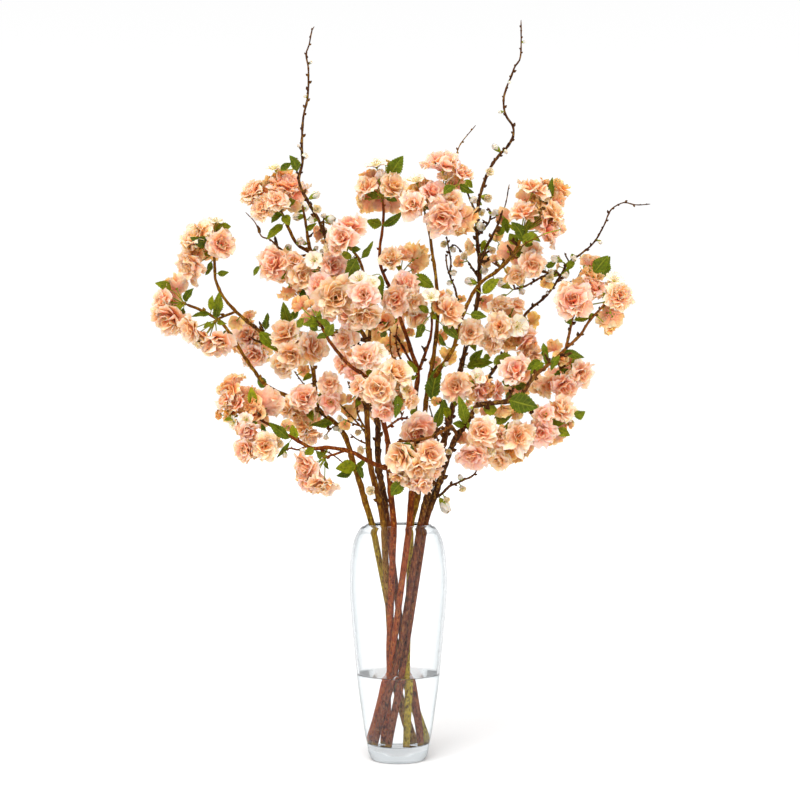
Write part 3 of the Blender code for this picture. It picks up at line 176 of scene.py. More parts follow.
# The kinds of blossom
DOUBLE = "double"
FAR = "far"
AWAY = "away"
SINGLE = "single"
BUD = "bud"
FILLING = "filling"

# Each stem: its bark, the turn of its place in the ring at the waist, its place in
# the mouth (x, y), how far it leans back for each step up, its end radius and its path
# through the crown (x, z, depth). Each of its branches: start and end radius and path
STEMS = {
    "stem_far_left": {
        "bark": "olive_bark", "turn": 100, "mouth": (-36, 2), "lean": 0.22, "end": 3.0,
        "crown": [
            (-45, 350, 2), (-53, 378, 0), (-62, 405, -2), (-68, 428, -2), (-77, 448, 0), (-88, 460, 3),
            (-100, 469, 5), (-112, 481, 8)],
        "branches": {
            "left_arc": (3.0, 1.9, [
                (-112, 481, 8), (-130, 488, 10), (-147, 494, 10), (-165, 501, 6), (-184, 513, 0),
                (-197, 530, -5), (-211, 550, -8), (-225, 573, -10), (-240, 594, -10), (-248, 601, -10),
                (-270, 613, -10), (-290, 621, -10)]),
            "left_rise": (3.2, 1.9, [
                (-112, 481, 8), (-114, 505, 16), (-118, 538, 24), (-130, 560, 25), (-152, 574, 18),
                (-178, 578, 8), (-197, 590, 3), (-222, 611, 0), (-240, 632, -4), (-250, 655, -6),
                (-251, 672, -6), (-252, 688, -6)]),
            "left_link": (1.8, 1.8, [(-222, 611, 0), (-235, 606, -5), (-247, 601, -10)]),
            "arc_spur": (1.6, 1.4, [(-248, 601, -10), (-250, 598, -19)]),
            "fork_spur": (1.6, 1.4, [(-184, 580, 6), (-184, 570, 22), (-191, 564, 40)]),
            "middle_spur": (1.8, 1.5, [(-135, 563, 24), (-138, 563, 12), (-140, 562, 2)]),
            "low_spur": (1.8, 1.5, [(-105, 474, 6), (-115, 477, -5), (-122, 478, -13)]),
            "low_right_spur": (1.8, 1.5, [(-100, 470, 5), (-97, 482, -4), (-95, 492, -12)]),
            "bud_twig": (1.1, 0.8, [(-84, 456, 2), (-94, 449, -3), (-99, 441, -5)]),
        },
    },
    "stem_left": {
        "bark": "brown_bark", "turn": 145, "mouth": (-20, -20), "lean": -0.05, "end": 2.0,
        "crown": [
            (-25, 348, -22), (-32, 375, -21), (-38, 400, -17), (-41, 425, -12), (-42, 450, -6),
            (-43, 485, 0), (-42, 515, 8), (-40, 540, 12), (-40, 560, 15), (-48, 580, 20), (-62, 600, 25),
            (-85, 640, 27), (-105, 672, 22), (-118, 690, 18), (-138, 703, 12), (-150, 725, 8),
            (-160, 748, 5)],
        "branches": {
            "middle_rise": (2.6, 1.8, [
                (-40, 560, 15), (-39, 600, 6), (-44, 635, 0), (-47, 662, -6), (-54, 683, -12),
                (-63, 695, -16)]),
            "knobbed_twig": (2.8, 1.4, [
                (-118, 690, 18), (-122, 702, 24), (-126, 728, 28), (-131, 757, 30)]),
            "long_twig": (1.8, 0.6, [
                (-118, 690, 18), (-135, 687, 20), (-150, 690, 22), (-165, 700, 24), (-176, 710, 26),
                (-187, 714, 26), (-196, 733, 26), (-209, 747, 26)]),
            "short_twig": (1.3, 0.7, [(-140, 688, 20), (-152, 684, 25), (-160, 692, 28), (-172, 704, 30)]),
            "shoulder_spur": (1.8, 1.5, [(-105, 672, 22), (-125, 667, 12), (-147, 667, 6)]),
            "shoulder_right_spur": (1.8, 1.5, [(-99, 662, 24), (-104, 665, 12), (-106, 668, 3)]),
            "crown_spur": (1.8, 1.6, [(-80, 632, 27), (-84, 632, 10), (-87, 632, -6)]),
            "crown_right_spur": (1.8, 1.6, [(-42, 622, 2), (-45, 627, -8), (-47, 629, -17)]),
            "dull_spur": (1.6, 1.4, [(-44, 570, 17), (-56, 573, 8), (-62, 574, 1)]),
            "heart_spur": (1.8, 1.5, [(-42, 515, 8), (-46, 530, -6), (-48, 537, -17)]),
            "cross_twig": (1.3, 0.8, [(-42, 430, -10), (-50, 433, -10), (-59, 438, -10), (-66, 444, -10)]),
            "upper_cross_twig": (1.3, 0.8, [(-43, 452, -6), (-57, 456, -7), (-71, 462, -9)]),
        },
    },
    "stem_dark_left": {
        "bark": "dark_bark", "turn": 55, "mouth": (-15, 29), "lean": 0, "end": 0.8,
        "crown": [
            (-18, 345, 29), (-22, 370, 29), (-27, 400, 28), (-28, 430, 27), (-29, 465, 27),
            (-38, 482, 29), (-45, 505, 32), (-52, 540, 35), (-57, 570, 37), (-65, 595, 41),
            (-78, 625, 43), (-90, 660, 38), (-95, 690, 20), (-100, 714, 0), (-110, 738, -10),
            (-120, 755, -15), (-132, 778, -20), (-136, 792, -20), (-131, 815, -18), (-132, 835, -16),
            (-130, 876, -14), (-124, 904, -12), (-123, 944, -10), (-126, 963, -10), (-122, 976, -10),
            (-118, 996, -10), (-115, 1001, -10)],
        "branches": {
            "bud_shoot": (1.2, 0.9, [(-135, 796, -19), (-140, 806, -19), (-139, 818, -19)]),
            "upper_knob": (1.6, 0.9, [(-132, 832, -16), (-137, 838, -17)]),
            "dark_shoot": (1.6, 1.0, [(-99, 711, 2), (-102, 728, -2), (-102, 741, -4)]),
        },
    },
    "stem_front_left": {
        "bark": "red_brown_bark", "turn": 190, "mouth": (-6, -29), "lean": 0, "end": 1.8,
        "crown": [
            (-8, 340, -30), (-10, 360, -31), (-12, 385, -31), (-14, 405, -31), (-14, 430, -31),
            (-18, 450, -31), (-22, 468, -32), (-28, 490, -38), (-36, 513, -48), (-50, 526, -56),
            (-66, 537, -58), (-80, 552, -56), (-90, 565, -52), (-98, 577, -46), (-106, 594, -38)],
        "branches": {
            "low_arm": (3.2, 1.8, [
                (-14, 396, -31), (-29, 401, -38), (-42, 407, -42), (-62, 418, -44), (-80, 423, -44),
                (-98, 425, -42), (-117, 424, -40), (-137, 434, -38), (-158, 446, -34), (-180, 458, -30),
                (-191, 465, -28)]),
            "hanging_twig": (1.8, 1.4, [(-73, 421, -44), (-86, 416, -47), (-97, 413, -47)]),
            "arm_spur": (1.6, 1.3, [(-158, 446, -34), (-172, 441, -34), (-183, 437, -33)]),
            "dark_bud_twig": (1.4, 0.9, [
                (-124, 427, -39), (-137, 422, -41), (-148, 424, -41), (-159, 421, -41)]),
            "hook_twig": (1.4, 1.2, [
                (-16, 451, -31), (-6, 459, -24), (4, 465, -18), (14, 464, -12), (21, 461, -6)]),
            "front_spur": (1.8, 1.6, [(-25, 480, -35), (-22, 494, -44), (-20, 502, -52)]),
        },
    },
    "stem_centre": {
        "bark": "red_brown_bark", "turn": 235, "mouth": (15, -27), "lean": 0.18, "end": 1.7,
        "crown": [
            (17, 345, -26), (19, 370, -20), (20, 400, -10), (22, 430, 4), (22, 460, 8), (24, 500, 4),
            (27, 528, -2), (20, 550, 2), (12, 575, 6), (4, 598, 8), (-4, 625, 9), (-12, 645, 9),
            (-18, 657, 7), (-25, 678, 5), (-25, 700, 5), (-22, 720, 3), (-20, 745, 0), (-21, 764, 0)],
        "branches": {
            "right_rise": (2.4, 1.6, [
                (27, 528, -2), (33, 543, -6), (38, 557, -10), (44, 575, -14), (46, 592, -17),
                (46, 604, -20)]),
            "back_rise": (2.0, 1.5, [(26, 530, -1), (14, 548, 12), (2, 570, 24), (-12, 586, 32)]),
            "inner_spur": (1.7, 1.5, [(0, 612, 8), (3, 623, -4), (5, 630, -14)]),
            "hanging_spur": (1.5, 1.2, [(-9, 638, 9), (-3, 651, 6), (2, 660, 4)]),
        },
    },
    "stem_olive": {
        "bark": "olive_bark", "turn": 10, "mouth": (18, 27), "lean": -0.05, "end": 1.7,
        "crown": [
            (24, 345, 28), (30, 380, 28), (34, 420, 26), (36, 460, 24), (38, 490, 20), (43, 520, 17),
            (48, 548, 15), (52, 580, 14), (54, 610, 12), (53, 640, 10), (50, 670, 8), (46, 695, 6),
            (44, 712, 4), (40, 730, 2), (36, 748, 0)],
        "branches": {
            "upper_fork": (1.8, 1.5, [(44, 711, 4), (51, 724, 2), (58, 738, 2), (64, 748, 0)]),
            "top_twig": (1.4, 0.6, [
                (48, 718, 3), (58, 770, 24), (76, 812, 28), (84, 838, 26), (106, 866, 24)]),
            "right_sweep": (3.2, 2.0, [
                (40, 503, 18), (57, 533, 10), (68, 548, 6), (77, 565, 4), (82, 590, 4), (90, 610, 6),
                (98, 628, 8), (106, 642, 10), (118, 655, 10), (132, 664, 8), (147, 677, 5), (157, 690, 3),
                (164, 702, 0), (169, 716, -2)]),
            "dark_twig": (1.6, 0.7, [
                (150, 680, 4), (160, 690, -14), (174, 704, -30), (187, 711, -32), (198, 716, -32)]),
            "sweep_spur": (1.6, 1.4, [(155, 687, 3), (165, 683, 10), (171, 680, 15)]),
        },
    },
    "stem_dark_right": {
        "bark": "dark_bark", "turn": 280, "mouth": (30, -14), "lean": 0.06, "end": 0.8,
        "crown": [
            (36, 345, -12), (42, 365, -8), (49, 388, -4), (56, 412, 2), (63, 435, 8), (69, 457, 14),
            (75, 483, 21), (80, 510, 27), (86, 535, 31), (92, 560, 33), (99, 585, 34), (106, 613, 34),
            (110, 640, 32), (111, 680, 28), (108, 710, 24), (108, 740, 20), (111, 765, 16),
            (117, 786, 12), (125, 806, 10), (138, 825, 8), (148, 835, 8), (157, 850, 8), (157, 864, 8),
            (147, 880, 8), (144, 900, 8), (148, 917, 8), (154, 931, 8), (160, 947, 8), (166, 955, 8),
            (168, 970, 8), (168, 1010, 8)],
        "branches": {
            "right_reach": (2.8, 0.7, [
                (75, 483, 21), (95, 497, 38), (115, 512, 47), (130, 530, 52), (145, 553, 54),
                (162, 588, 52), (178, 612, 48), (200, 630, 44), (212, 645, 40), (222, 660, 36),
                (232, 677, 32), (250, 690, 28), (268, 706, 24), (282, 730, 20), (291, 750, 16),
                (308, 760, 14), (325, 757, 12), (345, 758, 10)]),
            "reach_side": (1.7, 1.2, [
                (222, 660, 36), (212, 662, 34), (198, 659, 32), (185, 652, 30), (172, 645, 28),
                (157, 641, 26)]),
            "left_shoot": (1.8, 1.2, [(111, 656, 31), (103, 668, 26), (95, 680, 22)]),
            "upper_left_shoot": (1.9, 1.1, [(108, 738, 20), (101, 758, 18), (95, 773, 16), (93, 780, 16)]),
            "right_shoot": (1.5, 1.2, [
                (109, 715, 23), (118, 725, 18), (125, 736, 14), (126, 748, 12), (122, 753, 12)]),
            "fine_shoot": (1.1, 0.7, [(125, 736, 14), (143, 748, 12), (152, 785, 12)]),
            "slim_rise": (1.8, 1.0, [
                (96, 574, 33), (88, 600, 20), (81, 628, 8), (77, 645, 2), (71, 660, 0), (72, 680, 0),
                (69, 697, 0), (66, 714, 0)]),
            "slim_left": (1.2, 0.9, [(72, 658, 1), (67, 672, -4), (65, 690, -7)]),
            "cabbage_spur": (1.8, 1.6, [(79, 503, 25), (83, 505, 8), (86, 506, -8)]),
            "shaded_spur": (1.6, 1.4, [(92, 560, 33), (96, 569, 22), (99, 576, 11)]),
            "right_cluster_spur": (2.0, 1.6, [
                (99, 585, 34), (116, 583, 26), (132, 582, 17), (144, 583, 10)]),
            "left_twig": (1.4, 0.8, [
                (57, 417, 2), (53, 440, -5), (50, 455, -8), (46, 470, -8), (42, 483, -8)]),
        },
    },
    "stem_right": {
        "bark": "dark_bark", "turn": 325, "mouth": (37, 4), "lean": -0.12, "end": 1.3,
        "crown": [
            (42, 338, 3), (50, 360, 0), (60, 388, -4), (67, 410, -8), (79, 438, -14), (91, 455, -17),
            (100, 470, -18), (108, 482, -18), (130, 486, -18), (150, 488, -18), (165, 493, -18),
            (172, 502, -18), (185, 521, -15), (200, 534, -10), (215, 546, -5), (229, 560, 0),
            (240, 570, 0), (250, 580, 0), (262, 599, 0), (276, 614, 0), (286, 623, 2)],
        "branches": {
            "right_fork": (2.0, 1.5, [
                (229, 560, 0), (232, 572, 2), (235, 585, 3), (238, 600, 4), (243, 614, 6)]),
            "olive_branch": (2.4, 1.5, [
                (81, 441, -15), (72, 454, -28), (62, 449, -38), (50, 441, -44), (35, 437, -48),
                (15, 434, -50), (-2, 433, -50)]),
            "olive_spur": (1.5, 1.3, [(22, 435, -50), (24, 426, -50), (25, 419, -50)]),
            "low_twig": (1.9, 1.0, [
                (48, 354, 0), (60, 362, -4), (70, 372, -6), (80, 376, -6), (90, 381, -6), (100, 385, -4),
                (107, 393, -2), (109, 403, 0)]),
            "cup_spur": (1.8, 1.5, [(91, 455, -17), (101, 447, -20), (107, 440, -22)]),
            "side_spur": (1.7, 1.4, [(101, 447, -20), (125, 441, -14), (146, 437, -8)]),
            "lower_right_spur": (1.8, 1.4, [
                (152, 489, -18), (170, 482, -10), (187, 472, -4), (199, 464, 0)]),
            "fork_spur": (1.6, 1.4, [(215, 546, -5), (219, 540, 6), (222, 534, 12)]),
            "flat_spur": (1.6, 1.4, [(148, 488, -18), (154, 498, -4), (157, 506, 6)]),
        },
    },
}

# Small white blossoms and buds that sit on the bare twigs of a stem, fused to its
# wood: x, z, depth behind the wood, radius and kind
STUDS = {
    "stem_far_left": [(-99, 439, -1, 4, BUD)],
    "stem_left": [
        (-137, 741, 3, 6, BUD), (-117, 738, -9, 6, BUD), (-128, 753, 10, 8, SINGLE),
        (-151, 698, 7, 5, BUD), (-54, 446, -10, 8, SINGLE), (-50, 422, -10, 8, SINGLE),
        (-78, 464, -5, 8, SINGLE), (-37, 366, -9, 9, SINGLE)],
    "stem_dark_left": [
        (-128, 824, -1, 4.5, BUD), (-114, 770, 0, 5.5, BUD), (-112, 751, -8, 9, SINGLE),
        (-93, 737, -5, 6, BUD), (-90, 721, -12, 8, SINGLE)],
    "stem_front_left": [(-131, 420, -4, 5, BUD)],
    "stem_dark_right": [
        (125, 802, -8, 8, SINGLE), (134, 835, 0, 5, BUD), (121, 766, -7, 9, SINGLE),
        (113, 745, -7, 6, SINGLE), (112, 728, -8, 7, BUD), (103, 764, -7, 6, BUD),
        (91, 685, -6, 9, SINGLE), (63, 703, -8, 7, SINGLE), (99, 652, -7, 7, BUD), (117, 667, -7, 6, BUD),
        (128, 695, -10, 7, SINGLE), (142, 650, 10, 8, BUD), (169, 651, -8, 8, SINGLE),
        (207, 658, -7, 9, SINGLE), (220, 682, -2, 8, SINGLE), (240, 684, -4, 5, BUD)],
    "stem_right": [
        (65, 355, -4, 8, SINGLE), (87, 370, -4, 8, SINGLE), (69, 419, -8, 7, SINGLE),
        (106, 475, -8, 6, SINGLE)],
}

# Leaves on the wood of a stem: base (x, z), tip (x, z), width, depth of the base behind
# the wood and of the tip behind the base
STEM_LEAVES = {
    "stem_far_left": [
        (-249, 606, -245, 638, 13, -4, -4), (-258, 607, -283, 604, 8, -2, -8),
        (-247, 663, -232, 665, 8, -4, -4), (-256, 680, -264, 660, 8, 4, 8),
        (-228, 573, -239, 587, 12, 8, 8), (-189, 583, -161, 556, 16, -9, -10),
        (-182, 586, -178, 610, 10, -4, -6), (-147, 592, -158, 623, 16, -6, -14),
        (-180, 509, -194, 518, 14, 7, 6), (-118, 525, -131, 517, 9, -1, -6),
        (-90, 458, -121, 456, 13, -11, -12), (-58, 400, -86, 396, 18, -8, -6),
        (-55, 400, -50, 382, 9, -6, -4)],
    "stem_left": [
        (-160, 745, -174, 734, 13, -5, -6), (-158, 742, -149, 729, 12, -6, -4),
        (-158, 730, -181, 711, 12, -3, -8), (-120, 652, -132, 618, 22, 3, -12),
        (-57, 683, -70, 656, 18, -4, -10), (-64, 684, -79, 693, 10, 0, -4),
        (-50, 684, -33, 706, 9, -2, -8), (-131, 755, -137, 745, 8, 4, 6),
        (-125, 722, -112, 731, 8, -5, -6), (-24, 661, -21, 628, 11, 1, -6)],
    "stem_dark_left": [(-138, 803, -149, 825, 13, -3, -4)],
    "stem_front_left": [
        (-98, 577, -112, 575, 9, -2, -4), (-97, 578, -88, 595, 12, -4, -6),
        (-150, 437, -178, 459, 14, -6, -4), (-142, 435, -143, 457, 12, 7, 4),
        (-149, 432, -167, 411, 6, 0, -4), (-116, 424, -130, 415, 10, -6, -6)],
    "stem_centre": [
        (-23, 729, -44, 736, 14, -4, -8), (-21, 728, 6, 748, 11, -6, -8), (25, 528, 12, 545, 11, -6, -6),
        (24, 522, 14, 516, 8, -7, -4)],
    "stem_olive": [
        (46, 490, 54, 539, 20, -16, -8), (99, 607, 121, 604, 12, -10, -8),
        (116, 636, 139, 656, 14, -10, -8), (171, 708, 156, 734, 17, -13, -8),
        (172, 708, 186, 719, 14, 24, -6), (165, 703, 152, 718, 14, 6, 6), (168, 708, 184, 702, 13, 5, 6)],
    "stem_dark_right": [
        (94, 535, 131, 541, 16, -7, -8), (100, 538, 115, 559, 13, -5, -6), (54, 453, 61, 483, 12, -7, -6),
        (131, 540, 150, 556, 17, -9, -8), (138, 548, 159, 545, 14, -5, -6),
        (112, 690, 122, 688, 10, -7, -8), (240, 680, 230, 668, 12, -5, -4)],
    "stem_right": [
        (152, 490, 191, 481, 26, -8, -8), (131, 460, 156, 469, 15, -5, -4), (203, 538, 200, 567, 8, 3, 4),
        (199, 541, 180, 526, 12, -1, -4), (236, 593, 230, 613, 9, -4, -4),
        (241, 599, 271, 608, 13, -4, -6), (92, 457, 85, 496, 14, -7, -6), (90, 455, 74, 458, 10, -7, -4),
        (96, 458, 100, 448, 9, -7, -4), (220, 550, 209, 530, 10, -9, -2)],
}

# Sprays of blossom: each head grows from the end of a branch of a stem, and holds
# blossoms (x, z, radius, kind) round that end
SPRAYS = {
    "blossoms_upper_left": [("stem_far_left", "left_rise", [
        (-277, 713, 22, DOUBLE), (-242, 703, 18, DOUBLE), (-283, 673, 21, DOUBLE),
        (-250, 735, 11, SINGLE), (-270, 694, 15, FAR), (-245, 716, 15, FAR)])],
    "blossoms_far_left": [("stem_far_left", "left_arc", [
        (-318, 601, 24, DOUBLE), (-328, 624, 16, DOUBLE), (-305, 647, 16, AWAY), (-314, 612, 17, FAR)])],
    "blossoms_left_arc": [("stem_far_left", "arc_spur", [
        (-285, 587, 17, DOUBLE), (-248, 568, 20, DOUBLE), (-273, 567, 9, SINGLE)])],
    "blossoms_left_fork": [("stem_far_left", "fork_spur", [
        (-207, 575, 20, DOUBLE), (-204, 606, 9, FAR), (-196, 552, 17, DOUBLE), (-186, 558, 14, FAR),
        (-218, 565, 12, FAR)])],
    "blossoms_left_middle": [("stem_far_left", "middle_spur", [
        (-156, 581, 19.5, DOUBLE), (-115, 561, 19, DOUBLE), (-146, 551, 17, DOUBLE),
        (-157, 535, 15, DOUBLE), (-139, 577, 8, SINGLE)])],
    "blossoms_low_left": [
        ("stem_far_left", "low_spur", [
            (-128, 493, 19, DOUBLE), (-152, 479, 14, DOUBLE), (-130, 462, 13, AWAY),
            (-120, 444, 16, DOUBLE), (-118, 497, 9, SINGLE)]),
        ("stem_far_left", "low_right_spur", [(-94, 513, 14, DOUBLE), (-92, 487, 13, DOUBLE)])],
    "blossoms_top_left": [("stem_left", "crown", [
        (-150, 781, 23, DOUBLE), (-166, 765, 14, DOUBLE), (-200, 776, 16, DOUBLE),
        (-185, 753, 15, DOUBLE), (-168, 807, 13, SINGLE), (-175, 775, 17, FAR), (-148, 763, 15, FAR)])],
    "blossoms_upper_pair": [("stem_left", "middle_rise", [
        (-66, 729, 19, DOUBLE), (-78, 711, 17, DOUBLE), (-97, 697, 8, SINGLE), (-85, 696, 8, DOUBLE),
        (-70, 722, 15, FAR)])],
    "blossoms_left_shoulder": [
        ("stem_left", "shoulder_spur", [
            (-170, 677, 21, DOUBLE), (-143, 680, 13, DOUBLE), (-131, 660, 17, DOUBLE),
            (-158, 668, 14, FAR)]),
        ("stem_left", "shoulder_right_spur", [(-115, 681, 13, SINGLE), (-88, 673, 17, DOUBLE)])],
    "blossoms_crown_left": [
        ("stem_left", "crown_spur", [
            (-84, 630, 26, DOUBLE), (-107, 645, 17, DOUBLE), (-95, 605, 9, DOUBLE)]),
        ("stem_left", "crown_right_spur", [
            (-53, 655, 13, SINGLE), (-37, 650, 12, SINGLE), (-47, 634, 16, DOUBLE),
            (-45, 605, 20, DOUBLE), (-70, 600, 12, DOUBLE)])],
    "blossoms_shaded_left": [("stem_left", "dull_spur", [(-74, 573, 15, DOUBLE)])],
    "blossoms_heart_left": [("stem_left", "heart_spur", [
        (-45, 548, 17, DOUBLE), (-27, 557, 13, SINGLE), (-76, 541, 14, DOUBLE), (-60, 527, 12, DOUBLE)])],
    "blossoms_heart_front": [("stem_front_left", "front_spur", [
        (-3, 527, 19, DOUBLE), (-28, 505, 20, DOUBLE), (-55, 508, 13, DOUBLE), (10, 505, 13, SINGLE),
        (-17, 476, 14, DOUBLE), (17, 487, 10, DOUBLE)])],
    "blossom_calyxes_left": [("stem_front_left", "crown", [(-125, 602, 9, AWAY), (-112, 612, 7, AWAY)])],
    "blossoms_low_far_left": [("stem_front_left", "low_arm", [
        (-236, 488, 14, DOUBLE), (-228, 509, 17, AWAY), (-221, 487, 13, DOUBLE), (-183, 486, 21, AWAY),
        (-208, 463, 11, SINGLE), (-226, 459, 10, SINGLE), (-205, 448, 14, DOUBLE)])],
    "blossoms_low_pair": [("stem_front_left", "arm_spur", [
        (-208, 423, 15, DOUBLE), (-182, 427, 16, DOUBLE), (-163, 430, 8, SINGLE)])],
    "blossoms_hanging_left": [("stem_front_left", "hanging_twig", [
        (-125, 398, 18, DOUBLE), (-101, 375, 17, DOUBLE), (-127, 376, 12, DOUBLE)])],
    "blossom_nodding": [("stem_front_left", "hook_twig", [(27, 447, 21, DOUBLE)])],
    "blossoms_upper_middle": [("stem_centre", "crown", [
        (-44, 781, 16, DOUBLE), (-45, 763, 17, AWAY), (-5, 781, 18, DOUBLE), (-30, 812, 16, SINGLE),
        (-24, 796, 8, BUD), (-6, 762, 15, FAR)])],
    "blossoms_hanging_pair": [("stem_centre", "hanging_spur", [
        (-10, 684, 15, DOUBLE), (25, 687, 19, AWAY)])],
    "blossoms_crown_middle": [("stem_centre", "inner_spur", [
        (10, 651, 15, DOUBLE), (-3, 628, 18, DOUBLE), (22, 624, 14, DOUBLE), (27, 602, 15, DOUBLE)])],
    "blossoms_crown_right": [("stem_centre", "right_rise", [
        (45, 631, 13, SINGLE), (70, 612, 18, DOUBLE), (68, 635, 9, SINGLE)])],
    "blossoms_shaded_middle": [("stem_centre", "back_rise", [(-30, 588, 18, FAR), (-8, 602, 15, FAR)])],
    "blossoms_top_middle": [
        ("stem_olive", "crown", [
            (20, 757, 17, DOUBLE), (25, 790, 14, SINGLE), (47, 774, 17, DOUBLE), (35, 770, 15, FAR)]),
        ("stem_olive", "upper_fork", [
            (65, 793, 13, SINGLE), (60, 813, 22, DOUBLE), (88, 800, 14, DOUBLE), (73, 764, 14, DOUBLE),
            (60, 739, 21, DOUBLE), (90, 733, 19, AWAY)])],
    "blossoms_upper_right": [("stem_olive", "right_sweep", [
        (172, 746, 17, DOUBLE), (197, 765, 13, SINGLE), (212, 748, 18, DOUBLE), (185, 781, 17, DOUBLE),
        (221, 780, 13, AWAY), (206, 723, 19, DOUBLE), (190, 745, 16, FAR)])],
    "blossoms_right_bend": [("stem_olive", "sweep_spur", [
        (184, 695, 12, DOUBLE), (184, 675, 16, DOUBLE), (150, 697, 11, FAR), (162, 660, 13, DOUBLE)])],
    "blossoms_cabbage": [("stem_dark_right", "cabbage_spur", [
        (78, 508, 19, DOUBLE), (108, 521, 13, SINGLE), (114, 503, 15, DOUBLE), (136, 503, 12, DOUBLE)])],
    "blossom_shaded_right": [("stem_dark_right", "shaded_spur", [(99, 582, 16, DOUBLE)])],
    "blossoms_right_cluster": [("stem_dark_right", "right_cluster_spur", [
        (139, 590, 17, DOUBLE), (163, 591, 16, SINGLE), (176, 567, 18, DOUBLE), (181, 548, 15, DOUBLE),
        (128, 570, 16, DOUBLE), (141, 619, 15, DOUBLE), (160, 622, 13, DOUBLE)])],
    "blossoms_far_right": [
        ("stem_right", "right_fork", [
            (266, 645, 18, DOUBLE), (240, 626, 21, DOUBLE), (228, 643, 10, DOUBLE), (264, 679, 13, AWAY),
            (250, 640, 16, FAR)]),
        ("stem_right", "crown", [(296, 654, 14, SINGLE), (302, 632, 16, DOUBLE), (290, 604, 17, AWAY)])],
    "blossoms_right_fork": [("stem_right", "fork_spur", [
        (213, 561, 12, FAR), (196, 510, 17, FAR), (228, 509, 17, DOUBLE), (250, 525, 17, DOUBLE),
        (231, 531, 12, FAR)])],
    "blossoms_right_flat": [("stem_right", "flat_spur", [(160, 530, 21, DOUBLE), (161, 508, 16, FAR)])],
    "blossoms_lower_right": [("stem_right", "lower_right_spur", [
        (225, 477, 17, DOUBLE), (200, 469, 13, DOUBLE), (196, 446, 17, DOUBLE), (215, 441, 12, FAR)])],
    "blossoms_cup": [("stem_right", "cup_spur", [
        (115, 447, 17, DOUBLE), (101, 414, 19, DOUBLE), (127, 420, 9, SINGLE)])],
    "blossoms_low_right": [("stem_right", "side_spur", [
        (139, 440, 11, DOUBLE), (165, 439, 19, DOUBLE), (137, 409, 15, DOUBLE), (174, 425, 12, FAR)])],
    "blossoms_front_right": [("stem_right", "olive_spur", [
        (3, 412, 19, DOUBLE), (45, 415, 17, DOUBLE), (28, 395, 16, DOUBLE), (1, 383, 12, DOUBLE),
        (30, 375, 15, DOUBLE), (50, 393, 11, DOUBLE)])],
}

# Leaves on a spray, as on a stem, with the depth of the base behind its knob
SPRAY_LEAVES = {
    "blossoms_upper_left": [(-257, 707, -284, 710, 16, -24, -12), (-250, 724, -229, 727, 12, -2, 12)],
    "blossoms_far_left": [(-311, 641, -333, 650, 12, -2, -10)],
    "blossoms_left_shoulder": [(-190, 673, -199, 660, 7, -16, 2)],
    "blossoms_upper_middle": [(-13, 794, 7, 824, 21, -4, -6)],
    "blossoms_crown_middle": [(22, 661, 49, 643, 16, -10, 4)],
    "blossoms_crown_right": [(61, 592, 82, 572, 13, -10, -4), (34, 594, 30, 577, 11, -6, -4)],
    "blossoms_heart_front": [(-1, 497, -4, 465, 12, -14, -6)],
    "blossoms_top_middle": [(84, 785, 103, 773, 10, -16, -6), (76, 783, 62, 770, 11, -32, -6)],
    "blossoms_upper_right": [(211, 768, 210, 795, 9, -8, -4)],
    "blossoms_far_right": [(268, 664, 287, 688, 18, -2, -6)],
    "blossoms_lower_right": [(240, 469, 256, 475, 13, -4, -4), (218, 450, 235, 441, 13, -6, -4)],
    "blossoms_low_far_left": [(-198, 481, -201, 508, 12, -6, -4), (-222, 468, -239, 462, 7, -6, -4)],
    "blossoms_front_right": [(5, 430, 23, 411, 16, -22, -6), (6, 377, -10, 359, 17, -8, -2)],
}

# Thin twigs: start and end radius and path (x, z, depth)
FINE_TWIGS = {
    "stem_far_left": [(1.3, 0.7, [(-113, 492, 12), (-128, 510, 20), (-143, 530, 24)])],
    "stem_centre": [
        (1.2, 0.8, [(12, 538, 8), (-7, 548, 14), (-11, 566, 18), (-11, 586, 20)]),
        (1.3, 0.9, [(22, 529, 4), (5, 543, 12), (-3, 570, 18), (-1, 594, 20)])],
    "stem_left": [
        (1.4, 0.9, [(-42, 446, -4), (-55, 470, 4), (-57, 490, 8), (-64, 511, 10)]),
        (1.3, 0.8, [(-43, 440, -4), (-50, 452, 6), (-73, 477, 12), (-93, 497, 14)])],
    "stem_front_left": [
        (0.9, 0.7, [(3, 464, -19), (8, 475, -19)]),
        (1.2, 0.7, [(-112, 424, -41), (-97, 419, -36), (-84, 411, -31), (-75, 404, -28)])],
    "stem_dark_right": [
        (0.9, 0.6, [(218, 654, 38), (234, 652, 38), (244, 656, 38), (250, 668, 36)]),
        (1.1, 0.8, [(70, 698, 0), (77, 702, -4), (88, 692, -7)]),
        (1.1, 0.8, [(50, 455, -8), (56, 476, -11), (60, 491, -13)]),
        (2.3, 1.2, [(112, 679, 12), (121, 700, 12), (129, 715, 10), (138, 734, 8), (143, 750, 8)])],
}

# Small buds on the twigs: x, z, depth behind the wood and radius
SMALL_BUDS = {
    "stem_far_left": [(-85, 451, -5, 4)],
    "stem_left": [(-134, 707, -7, 6)],
    "stem_dark_left": [
        (-139, 819, -2, 2.6), (-102, 742, -3, 4), (-137, 838, -2, 2.4), (-127, 905, -2, 2.2),
        (-120, 952, -2, 2.2)],
    "stem_front_left": [(-155, 415, -4, 4)],
    "stem_dark_right": [
        (147, 830, -2, 3.6), (75, 696, -4, 4), (75, 664, -4, 5), (134, 746, -3, 5), (169, 639, -4, 5),
        (228, 661, -4, 5), (276, 706, -3, 3), (70, 650, -3, 3.6), (204, 637, -3, 2.4),
        (140, 884, -2, 2.6), (152, 925, -2, 2.4), (172, 980, -2, 2.2)],
    "stem_right": [(85, 384, -4, 4), (63, 345, -6, 8)],
}

